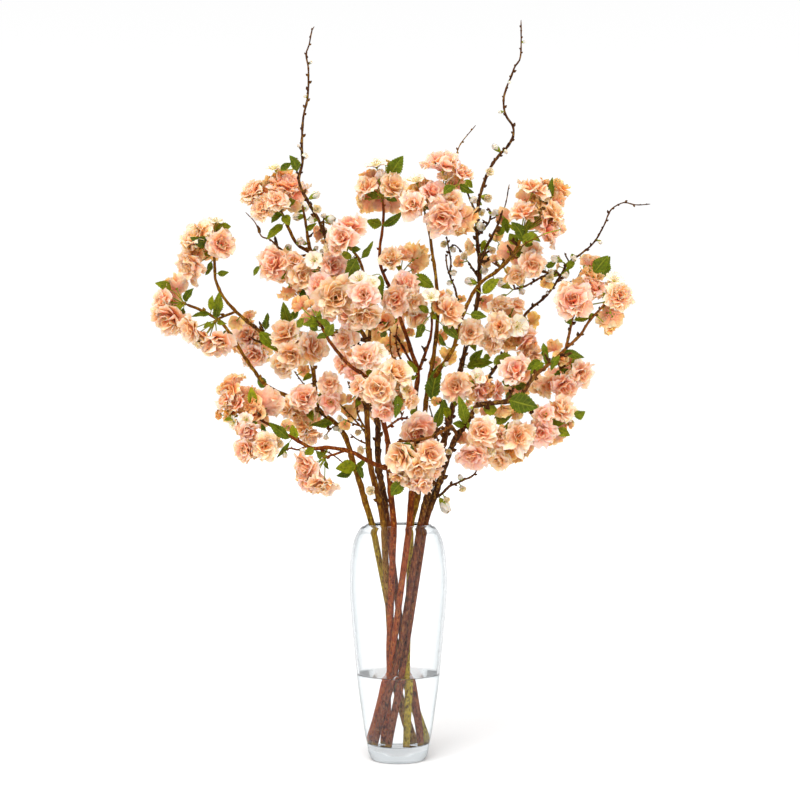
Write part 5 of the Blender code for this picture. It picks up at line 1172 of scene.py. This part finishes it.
def make_spray(name, heads, stem_paths, looks, rng):
    """The blossoms, stalks and leaves of one spray."""
    petals, greens, stamens, leaves = (Gathered() for _ in range(4))
    cores = []
    placed = 0
    for stem, branch, blossoms in heads:
        path = stem_paths[stem][branch]
        tip = path[-1]
        along = unit(tip - path[-3])
        start = tip + along * CLEARANCE
        core = start + along * KNOB_LENGTH / 2
        cores.append(core)
        tube(greens, start + np.outer(KNOB_STEPS, along), KNOB_RADII, 8, (0.5, 0.5, 1, 0),
             rng.uniform(), 0.1)
        for x, z, radius, kind in blossoms + filling(blossoms, rng):
            aside = seen(x, z, tip[1]) - core
            aside[1] = 0
            rise = math.sqrt(max(REACH**2 - aside @ aside, (LEAST_RISE * REACH) ** 2))
            back = {FAR: 1, AWAY: 0.5, FILLING: rng.choice([-0.2, 0.8])}.get(kind, -1)
            centre = seen(x, z, tip[1] + back * rise)
            grown = SPREAD * FULLNESS * radius
            centre[:2] = np.clip(centre[:2], cad_low[:2] + grown, cad_high[:2] - grown)
            facing = centre - core + BACK * math.copysign(REACH / 2, back)
            # Blossoms behind the spray or turned away take painted shade, with some of the duller colour of
            # petal backs
            dull_and_shade = DULLNESS_AND_SHADE if kind in (FAR, FILLING, AWAY) else 0
            tint = (rng.uniform(0, 1), 0, dull_and_shade * rng.uniform(0.4, 1))
            if kind == SINGLE:
                tint = (rng.uniform(0, 1), rng.uniform(0.55, 1), 0)
            placed += 1
            add_blossom((petals, greens, stamens), kind, centre, facing, radius,
                        placed * GOLDEN_ANGLE, core, rng, tint)
        for k in range(SMALL_LEAVES):
            side = frame_along(along, k * GOLDEN_ANGLE + placed)[0]
            way = unit(side + along * rng.uniform(-0.3, 0.6) - BACK * 0.4)
            base = core + way * rng.uniform(3, 7)
            long = rng.uniform(12, 24)
            add_leaf(leaves, greens, core, base, base + way * long, long * 0.5, rng)
    if len(cores) == 2:
        way = unit(cores[1] - cores[0])
        tube(greens, curved(cores[0], way, cores[1], way, 6), [0.9] * 6, 6, (0.5, 0.5, 0, 0))
    knots = [np.array([core, core + UP]) for core in cores]
    add_leaves(leaves, greens, knots, SPRAY_LEAVES.get(name, []), rng)
    petals.build(name + "_petals", "petal", looks, name)
    build_parts(name, looks, stalks=greens, leaves=leaves, stamens=stamens)


def add_short_twigs(twigs, trees, rng):
    """Short dark twigs that leave the wood at places drawn from the heart of the crown, and darken it as
    painted shade.
    """
    points = np.concatenate(trees)
    high = (points[:, 2] > HEART_HEIGHTS[0]) & (points[:, 2] < HEART_HEIGHTS[1])
    near = (points[:, 0] > HEART_WIDTHS[0]) & (points[:, 0] < HEART_WIDTHS[1])
    heart = points[high & near]
    for root in heart[rng.permutation(len(heart))[:SHORT_TWIGS]]:
        length = rng.uniform(*TWIG_LENGTHS)
        radius = rng.uniform(*TWIG_RADII)
        way = unit(np.array([rng.uniform(-1, 1), -0.4, rng.uniform(-0.1, 1)])) * length
        bend = rng.uniform(-0.12, 0.12, 3) * length
        path = smoothed([root, root + 0.5 * way + bend, root + way], TWIG_STEP)
        add_wood(twigs, path, np.linspace(radius, 0.7 * radius, len(path)), True, rng)


def make_shaded(stem_paths, looks, rng):
    """Blossoms, buds, leaves and twigs deep in the crown, from the nearest wood.

    None of these blossoms and buds has stamens."""
    petals, flowers, greens, leaves, twigs = (Gathered() for _ in range(5))
    every = [path for paths in stem_paths.values() for path in paths.values()]
    trees = [path[path[:, 2] > VASE_HEIGHT] for path in every]
    for table, kind, gathered in ((SHADED_BLOSSOMS, FILLING, petals), (TWIG_BUDS, BUD, flowers)):
        for k, (x, z, radius) in enumerate(table):
            root = nearest(trees, x, z)
            away = SHADED_DEPTH if kind == FILLING else rng.uniform(-5, 4)
            centre = seen(x, z, root[1] + away)
            facing = centre - root + rng.uniform(-8, 8, 3)
            # Filling blossoms deep in the crown take painted shade through the last value of their tint
            tint = (rng.uniform(0, 1), 0.5 * (kind == BUD), (kind == FILLING) * rng.uniform(0.4, 1))
            add_blossom((gathered, greens, None), kind, centre, facing, radius,
                        k * GOLDEN_ANGLE, root, rng, tint)
    table = [(*row, rng.uniform(-4, 10), rng.uniform(-6, 10)) for row in SHADED_LEAVES]
    add_short_twigs(twigs, trees, rng)
    add_leaves(leaves, greens, trees, table, rng)
    build_parts("shaded", looks, petals=petals, twigs=twigs)
    build_parts("twig", looks, buds=flowers)
    build_parts("shaded", looks, leaves=leaves, stalks=greens)


def turned(gathered, profile, sides):
    """A solid turned about Z from a profile of (radius, height), from its foot up outside."""
    profile = np.array(profile, float)
    angles = math.tau * np.arange(sides) / sides
    middle = profile[(profile[:, 0] > 0)]
    rings = np.stack([middle[:, :1] * np.cos(angles), middle[:, :1] * np.sin(angles),
                      middle[:, 1:] * np.ones(sides)], -1)
    points = np.concatenate([rings.reshape(-1, 3), [[0, 0, profile[0, 1]], [0, 0, profile[-1, 1]]]])
    gathered.add(points, closed_faces(len(middle), sides), (0, 0, 0, 0), (0, 0, 0))


def outside():
    """The outside of the vase, from the foot to the rim, as close points."""
    flat = FOOT_RADIUS - FOOT_EDGE
    foot = [(flat + FOOT_ROUNDING * math.sin(a), FOOT_ROUNDING - FOOT_ROUNDING * math.cos(a))
            for a in np.radians([0, 15, 30, 45, 60, 75])]
    path = [np.array([r, 0, z]) for r, z in foot[-1:] + VASE_OUTSIDE]
    curve = smoothed(path, 3)
    return foot[:-1] + [(p[0], p[2]) for p in curve]


def inside_radius(height):
    """The inner radius of the vase at a height."""
    line = [(r, z) for r, z in outside() if z > 6]
    return np.interp(height, [z for _, z in line], [r for r, _ in line]) - WALL


def make_vase(looks):
    """The glass vase: a thin wall over a thick base, with a rounded rim."""
    out = outside()
    lip_radius = (RIM_RADIUS - MOUTH_RADIUS) / 2
    lip_middle = (RIM_RADIUS + MOUTH_RADIUS) / 2
    lip_height = VASE_HEIGHT - lip_radius
    lip = [(lip_middle + lip_radius * math.cos(a), lip_height + lip_radius * math.sin(a))
           for a in np.radians(np.arange(0, 181, 20))]
    inner = [(float(inside_radius(z)), z) for z in np.arange(INNER_LOW, INNER_HIGH, 4.0)][::-1]
    inner = [(min(r, MOUTH_RADIUS + (VASE_HEIGHT - z) * 1.6), z) for r, z in inner]
    hollow = [(inner[-1][0] - inset, z) for inset, z in GLASS_INSETS]
    hollow += [(r, BASE_THICKNESS) for r in (18, 6, 0)]
    gathered = Gathered()
    turned(gathered, PUNT + out + lip + inner + hollow, VASE_SIDES)
    gathered.build("glass_vase", "vase_glass", looks, "vase")


def make_water(looks, stem_paths):
    """The water, which climbs a little where it meets the glass and the stems."""
    bottom = [(r, BASE_THICKNESS - WATER_LAP) for r in (0, 18)]
    low = float(inside_radius(INNER_LOW))
    bottom += [(low - inset, z) for inset, z in WATER_INSETS]
    heights = np.arange(INNER_LOW, WATER_HEIGHT + 0.1, 3.0)
    wall = [(float(inside_radius(z)) + WATER_LAP, z) for z in heights]
    top_radius = float(inside_radius(WATER_HEIGHT + 1.4)) + WATER_LAP
    rings = top_radius * (1 - np.linspace(0, 0.985, 44) ** 1.15)
    profile = bottom + wall + [(r, WATER_HEIGHT) for r in rings] + [(0, WATER_HEIGHT)]
    gathered = Gathered()
    turned(gathered, profile, VASE_SIDES)
    points = gathered.points[0]
    surface = points[:, 2] > WATER_HEIGHT - 0.01
    spots = points[surface]
    climb, fall = GLASS_CLIMB
    lift = climb * np.exp(-(top_radius - np.hypot(spots[:, 0], spots[:, 1])) / fall)
    climb, fall = STEM_CLIMB
    for paths in stem_paths.values():
        main = paths["crown"]
        at = main[np.argmin(np.abs(main[:, 2] - WATER_HEIGHT))]
        away = np.hypot(spots[:, 0] - at[0], spots[:, 1] - at[1]) - STEM_RADIUS
        lift = np.maximum(lift, climb * np.exp(-np.maximum(away, 0) / fall))
    points[surface, 2] += lift
    gathered.build("vase_water", "water", looks, "water")


# The colours of each bark, from 0 to 255: dark, middle and light bark, its specks, and for
# the bark inside the vase a wet colour and a lighter one, both brightened as painted light
BARKS = {
    "olive_bark": [
        (56, 30, 6), (104, 60, 12), (142, 96, 24), (160, 126, 32), (206, 176, 56), (236, 210, 68)],
    "brown_bark": [
        (50, 24, 6), (92, 50, 12), (124, 76, 22), (144, 104, 28), (190, 134, 56), (210, 166, 76)],
    "red_brown_bark": [
        (48, 18, 6), (96, 40, 10), (128, 62, 20), (150, 92, 28), (200, 92, 46), (216, 124, 62)],
    "dark_bark": [
        (34, 16, 8), (66, 36, 16), (98, 60, 26), (130, 92, 36), (162, 84, 54), (184, 114, 72)],
}

# The colours of two sorts of petal, from the rim to the deepest fold, whose deeper end is partly
# their own colour and partly painted shade, and the painted shade where other petals hide them
FOLD_STEPS = (0.0, 0.3, 0.66, 1.0)
PEACH = [(255, 231, 204), (255, 207, 168), (255, 182, 130), (250, 148, 92)]
PINK = [(255, 220, 205), (255, 187, 170), (252, 144, 132), (242, 98, 102)]
PEACH_PAINTED_SHADE = [(255, 234, 136), (255, 228, 142)]
# The same for white blossoms and buds, with their painted shade
WHITE = [(255, 246, 212), (254, 234, 184), (244, 214, 146), (216, 190, 90)]
BLUSH = [(255, 240, 210), (255, 226, 186), (252, 206, 158), (238, 176, 118)]
WHITE_PAINTED_SHADE = [(255, 236, 190), (255, 230, 196)]

# How glass and water darken, as painted shade for the darker surroundings seen in their edges, from face
# on, 0, to edge on, 1
GLASS_EDGE_SHADE = [(0.12, (255, 255, 255)), (0.42, (243, 245, 246)), (0.66, (220, 224, 226)),
               (0.86, (128, 134, 138))]
WATER_EDGE_SHADE = [(0.12, (255, 255, 255)), (0.86, (250, 252, 254))]
GLASS_BEND = 1.3
WATER_BEND = 1.333


def srgb(*channels):
    """A colour given as it shows on a screen, from 0 to 255."""
    parts = [c / 255 for c in channels]
    return (*[p / 12.92 if p <= 0.04045 else ((p + 0.055) / 1.055) ** 2.4 for p in parts], 1)


class Nodes:
    """A material's nodes, added by short calls."""

    def __init__(self, name):
        self.material = bpy.data.materials.new(name)
        self.material.use_nodes = True
        self.tree = self.material.node_tree
        self.output = self.tree.nodes["Material Output"]

    def add(self, kind, inputs=(), **settings):
        """A node with its inputs, each a value or a link, and its settings."""
        node = self.tree.nodes.new(kind)
        for key, value in settings.items():
            setattr(node, key, value)
        self.fill(node, inputs)
        return node

    def fill(self, node, inputs):
        """Sets each input of a node, or links it where the value is an output."""
        for key, value in dict(inputs).items():
            if isinstance(value, bpy.types.NodeSocket):
                self.tree.links.new(value, node.inputs[key])
            else:
                node.inputs[key].default_value = value

    def surface(self, inputs):
        """Fills the inputs of the shader, and returns the material."""
        self.fill(self.tree.nodes["Principled BSDF"], inputs)
        return self.material

    def math(self, operation, a, b=0.0, c=0.0, clamp=False):
        node = self.add("ShaderNodeMath", {0: a, 1: b, 2: c}, operation=operation, use_clamp=clamp)
        return node.outputs[0]

    def times(self, a, b):
        return self.math("MULTIPLY", a, b)

    def plus(self, value, factor, rest, clamp=False):
        """The value times a factor, and the rest added."""
        return self.math("MULTIPLY_ADD", value, factor, rest, clamp)

    def above(self, value, start, slope):
        """How far a value is above a start, times a slope, from 0 to 1."""
        return self.math("MULTIPLY", self.math("SUBTRACT", value, start), slope, clamp=True)

    def mix(self, factor, a, b, blend="MIX"):
        node = self.add("ShaderNodeMix", {"Factor": factor, 6: a, 7: b}, data_type="RGBA",
                        blend_type=blend, clamp_factor=True)
        return node.outputs[2]

    def ramp(self, factor, stops):
        """Colours, from 0 to 255, at places along a factor."""
        node = self.add("ShaderNodeValToRGB", {"Fac": factor})
        while len(node.color_ramp.elements) < len(stops):
            node.color_ramp.elements.new(0.5)
        for element, (position, colour) in zip(node.color_ramp.elements, stops):
            element.position = position
            element.color = srgb(*colour)
        return node.outputs["Color"]

    def noise(self, vector, scale, detail=3.0, rough=0.5):
        inputs = {"Vector": vector, "Scale": scale, "Detail": detail, "Roughness": rough}
        return self.add("ShaderNodeTexNoise", inputs).outputs["Fac"]

    def object_space(self):
        return self.add("ShaderNodeTexCoord").outputs["Object"]

    def paint(self):
        """The four values of the paint of each point."""
        paint = self.add("ShaderNodeAttribute", attribute_name="paint")
        split = self.add("ShaderNodeSeparateColor", {"Color": paint.outputs["Color"]})
        return [*split.outputs[:3], paint.outputs["Alpha"]]

    def place(self):
        """How far across and along each point lies, and its whole place."""
        whole = self.add("ShaderNodeAttribute", attribute_name="place").outputs["Vector"]
        split = self.add("ShaderNodeSeparateXYZ", {"Vector": whole})
        return split.outputs[0], split.outputs[1], whole

    def scaled(self, vector, scale):
        return self.add("ShaderNodeMapping", {"Vector": vector, "Scale": scale}).outputs["Vector"]

    def bump(self, height, strength, distance):
        inputs = {"Height": height, "Strength": strength, "Distance": distance}
        return self.add("ShaderNodeBump", inputs).outputs["Normal"]


def petal_look(name, pale, rosy, painted_shade):
    """Thin petals, pale at the rim and warm in the folds, some with a rosy heart: the warm folds partly
    their own colour and partly painted shade, more painted shade where other petals hide them and on
    blossoms behind the rest, and the pale rims partly painted light.
    """
    n = Nodes(name)
    fold_colour_and_shade, tint, cream, dull_and_shade = n.paint()
    _, along, place = n.place()
    tint = n.plus(along, -1.1, n.plus(tint, 1.0, 0.75), clamp=True)
    crumple = n.noise(n.object_space(), 240, 3.0)
    # Painted shade: where other petals hide a petal, found by ambient occlusion, its colour darkens towards
    # the warm shade colour
    open_air = n.add("ShaderNodeAmbientOcclusion", {"Distance": 0.018}, samples=4).outputs["AO"]
    occluded_shade_mask = n.math("SUBTRACT", 1.0, open_air)
    # The colour deepens from rim to fold: partly the petals' own colour, partly painted shade
    depth = n.plus(n.math("SUBTRACT", crumple, 0.5), 0.45, fold_colour_and_shade)
    colours = [n.ramp(depth, list(zip(FOLD_STEPS, row))) for row in (pale, rosy)]
    colour = n.mix(tint, *colours)
    creamy = n.ramp(depth, [(0.0, (250, 238, 212)), (0.5, (238, 222, 176)), (1.0, (212, 200, 110))])
    colour = n.mix(cream, colour, creamy)
    veins = n.noise(n.scaled(place, (15, 1.6, 37)), 1.0, 3.0)
    colour = n.mix(n.above(veins, 0.45, 1.6), colour, srgb(254, 208, 178), "MULTIPLY")
    # The outer rims are paler: partly their own pale margin, partly painted light where they catch it
    colour = n.mix(n.times(n.above(along, 0.86, 5.0), 0.5), colour, srgb(255, 239, 216))
    shade = n.mix(tint, *(srgb(*row) for row in painted_shade))
    colour = n.mix(n.plus(occluded_shade_mask, 0.95, -0.30, clamp=True), colour, shade, "MULTIPLY")
    crease = n.noise(n.scaled(place, (22, 2.4, 37)), 1.0, 2.0)
    # Painted shade on blossoms behind the rest, with some of the duller colour of petal backs
    return n.surface({
        "Base Color": n.mix(dull_and_shade, colour, srgb(252, 234, 152), "MULTIPLY"),
        "Roughness": n.plus(veins, 0.25, 0.5), "Normal": n.bump(crease, 0.5, 0.0008),
        "Specular IOR Level": 0.12, "Subsurface Weight": 0.5,
        "Subsurface Radius": (1.0, 0.5, 0.22), "Subsurface Scale": 0.003})


def leaf_look():
    """Olive green blades with paler veins."""
    n = Nodes("leaf_blades")
    tone = n.paint()[0]
    across, along, _ = n.place()
    body = n.ramp(tone, [(0.0, (66, 76, 2)), (0.5, (98, 106, 2)), (1.0, (134, 134, 6))])
    side = n.math("ABSOLUTE", across)
    run = n.plus(along, 6.5, n.times(side, -1.3))
    wave = n.math("ABSOLUTE", n.math("SINE", n.times(run, math.pi)))
    line = n.math("SUBTRACT", 1.0, n.times(wave, 3.4), clamp=True)
    rib = n.math("SUBTRACT", 1.0, n.times(side, 9.0), clamp=True)
    veins = n.math("MAXIMUM", n.times(line, 0.6), rib)
    mottle = n.noise(n.object_space(), 230, 4.0)
    colour = n.mix(n.above(mottle, 0.4, 2.2), body, srgb(40, 50, 2))
    relief = n.math("ADD", n.times(veins, -1.0), mottle)
    return n.surface({
        "Base Color": n.mix(n.times(veins, 0.45), colour, srgb(158, 158, 40)),
        "Roughness": n.plus(mottle, 0.3, 0.42), "Normal": n.bump(relief, 0.6, 0.0008),
        "Specular IOR Level": 0.2, "Subsurface Weight": 0.15,
        "Subsurface Radius": (0.6, 1.0, 0.1), "Subsurface Scale": 0.002})


def stalk_look():
    """Yellow green stalks and calyxes, browner at the shoots."""
    n = Nodes("green_stalks")
    tone, _, brown, _ = n.paint()
    mottle = n.noise(n.object_space(), 420, 3.0)
    body = n.ramp(n.plus(mottle, 0.6, n.times(tone, 0.5)), [
        (0.0, (92, 108, 12)), (0.5, (130, 138, 26)), (1.0, (170, 164, 52))])
    return n.surface({
        "Base Color": n.mix(n.times(brown, 0.8), body, srgb(112, 76, 22)),
        "Roughness": n.plus(mottle, 0.3, 0.4), "Normal": n.bump(mottle, 0.3, 0.0004),
        "Specular IOR Level": 0.2})


def stamen_look():
    """Pale filaments with golden anthers."""
    n = Nodes("stamen_threads")
    grain = n.noise(n.object_space(), 900, 2.0)
    colour = n.ramp(n.paint()[0], [(0.1, (232, 226, 150)), (0.9, (222, 180, 40))])
    return n.surface({
        "Base Color": n.mix(n.times(grain, 0.5), colour, srgb(190, 150, 30)),
        "Roughness": n.plus(grain, 0.3, 0.5)})


def bark_look(name):
    """Bark with long streaks, pale specks and rough joints, brighter inside the vase: the wet bark in the
    water, and painted light there and higher up in the vase, where the glass holds back the lamps.
    """
    n = Nodes(name)
    dark, mid, light, speck, wet_lit_bark, painted_light_bark = BARKS[name]
    _, warm, cut, low = n.paint()
    where = n.object_space()
    streak = n.noise(n.scaled(where, (1, 1, 0.22)), 360, 4.0, 0.65)
    broad = n.noise(where, 42, 3.0)
    base = n.ramp(n.plus(broad, 0.6, n.times(streak, 0.5)), [(0.36, dark), (0.54, mid), (0.74, light)])
    base = n.mix(n.times(warm, 0.75), base, n.ramp(streak, [(0.35, (104, 50, 12)), (0.75, (172, 106, 40))]))
    # Inside the vase the bark turns to its wet colour and its lights, brightened as painted light
    base = n.mix(low, base, n.ramp(streak, [(0.34, mid), (0.50, wet_lit_bark), (0.80, painted_light_bark)]))
    grains = n.noise(n.scaled(where, (1, 1, 0.5)), 330, 2.0, 0.6)
    # Inside the vase there are more specks, and they take the bright painted light colour
    flecks = n.above(grains, n.plus(low, -0.02, 0.53), 9.0)
    colour = n.mix(n.times(flecks, 0.9), base, n.mix(low, srgb(*speck), srgb(*painted_light_bark)))
    pits = n.above(n.noise(n.scaled(where, (1, 1, 0.4)), 380, 2.0, 0.6), 0.54, 9.0)
    colour = n.mix(n.times(pits, 0.65), colour, srgb(*dark))
    return n.surface({
        "Base Color": n.mix(cut, colour, srgb(200, 160, 84)), "Roughness": n.plus(streak, 0.3, 0.5),
        "Normal": n.bump(n.plus(grains, 0.8, streak), 0.9, 0.0012), "Specular IOR Level": 0.08})


def clear_look(name, bend, gloss, edges, tint, density):
    """Clear glass or water, greyer where it is seen edge on, as painted shade for what its edges bend and
    mirror, and with the depth of it.
    """
    n = Nodes(name)
    facing = n.add("ShaderNodeLayerWeight", {"Blend": 0.5}).outputs["Facing"]
    volume = n.add("ShaderNodeVolumeAbsorption", {"Color": srgb(*tint), "Density": density})
    n.fill(n.output, {"Volume": volume.outputs["Volume"]})
    return n.surface({
        "Base Color": n.ramp(facing, edges), "Roughness": 0.0, "IOR": bend,
        "Transmission Weight": 1.0, "Specular Tint": (gloss, gloss, gloss, 1)})


def make_looks():
    """Each finish of the record with its material."""
    looks = {
        "vase_glass": clear_look("clear_glass", GLASS_BEND, 0.9, GLASS_EDGE_SHADE, (200, 208, 212), 12.0),
        "water": clear_look("clear_water", WATER_BEND, 1.0, WATER_EDGE_SHADE, (225, 236, 240), 1.0),
        "petal": petal_look("peach_petals", PEACH, PINK, PEACH_PAINTED_SHADE),
        "small_blossom": petal_look("white_petals", WHITE, BLUSH, WHITE_PAINTED_SHADE),
        "leaf": leaf_look(),
        "green_stalk": stalk_look(),
        "stamen": stamen_look(),
    }
    return looks | {name: bark_look(name) for name in BARKS}


def make_floor():
    """A pale floor that runs out of sight."""
    mesh = bpy.data.meshes.new("floor")
    angles = math.tau * np.arange(FLOOR_SIDES) / FLOOR_SIDES
    points = [(FLOOR_RADIUS * math.cos(a), FLOOR_RADIUS * math.sin(a), -FLOOR_DROP) for a in angles]
    mesh.from_pydata(points, [], [list(range(FLOOR_SIDES))])
    floor = linked("floor", mesh)
    n = Nodes("pale_floor")
    grey = n.plus(n.noise(n.object_space(), 3.0, 2.0), FLOOR_VARIATION, FLOOR_GREY)
    mesh.materials.append(n.surface({"Base Color": grey, "Roughness": 0.9, "Specular IOR Level": 0.1}))


def make_light():
    """A bright room that dims overhead, and two very soft lamps."""
    world = bpy.data.worlds.new("studio")
    bpy.context.scene.world = world
    world.use_nodes = True
    nodes, links = world.node_tree.nodes, world.node_tree.links
    coords = nodes.new("ShaderNodeTexCoord")
    split = nodes.new("ShaderNodeSeparateXYZ")
    ramp = nodes.new("ShaderNodeValToRGB")
    links.new(coords.outputs["Generated"], split.inputs[0])
    links.new(split.outputs["Z"], ramp.inputs["Fac"])
    links.new(ramp.outputs["Color"], nodes["Background"].inputs["Color"])
    for stop, (height, grey) in zip(ramp.color_ramp.elements, ROOM_GREYS):
        stop.position = height
        stop.color = (grey, grey, grey, 1)
    nodes["Background"].inputs["Strength"].default_value = ROOM_STRENGTH
    for name, energy, spread, turn in LAMPS:
        lamp = bpy.data.lights.new(name, "SUN")
        lamp.energy = energy
        lamp.angle = math.radians(spread)
        light = linked(name, lamp)
        light.rotation_euler = [math.radians(t) for t in turn]
        light.visible_glossy = False
        light.visible_transmission = False


def make_camera():
    """The photograph's view: level, a little over two metres off."""
    data = bpy.data.cameras.new("camera")
    data.lens = LENS
    data.sensor_width = SENSOR_WIDTH
    data.clip_start = 0.05
    data.clip_end = 200
    camera = linked("camera", data)
    camera.location = CAMERA_PLACE
    camera.rotation_euler = (math.radians(90), 0, 0)
    bpy.context.scene.camera = camera
    bpy.context.scene.view_settings.view_transform = "Standard"


def main():
    """Everything that shows, in the order in which it is made."""
    rng = np.random.default_rng(SEED)
    looks = make_looks()
    make_vase(looks)
    stem_paths = {name: make_stem(name, stem, looks, rng) for name, stem in STEMS.items()}
    make_water(looks, stem_paths)
    for name, heads in SPRAYS.items():
        make_spray(name, heads, stem_paths, looks, rng)
    make_shaded(stem_paths, looks, rng)
    make_floor()
    make_light()
    make_camera()


main()
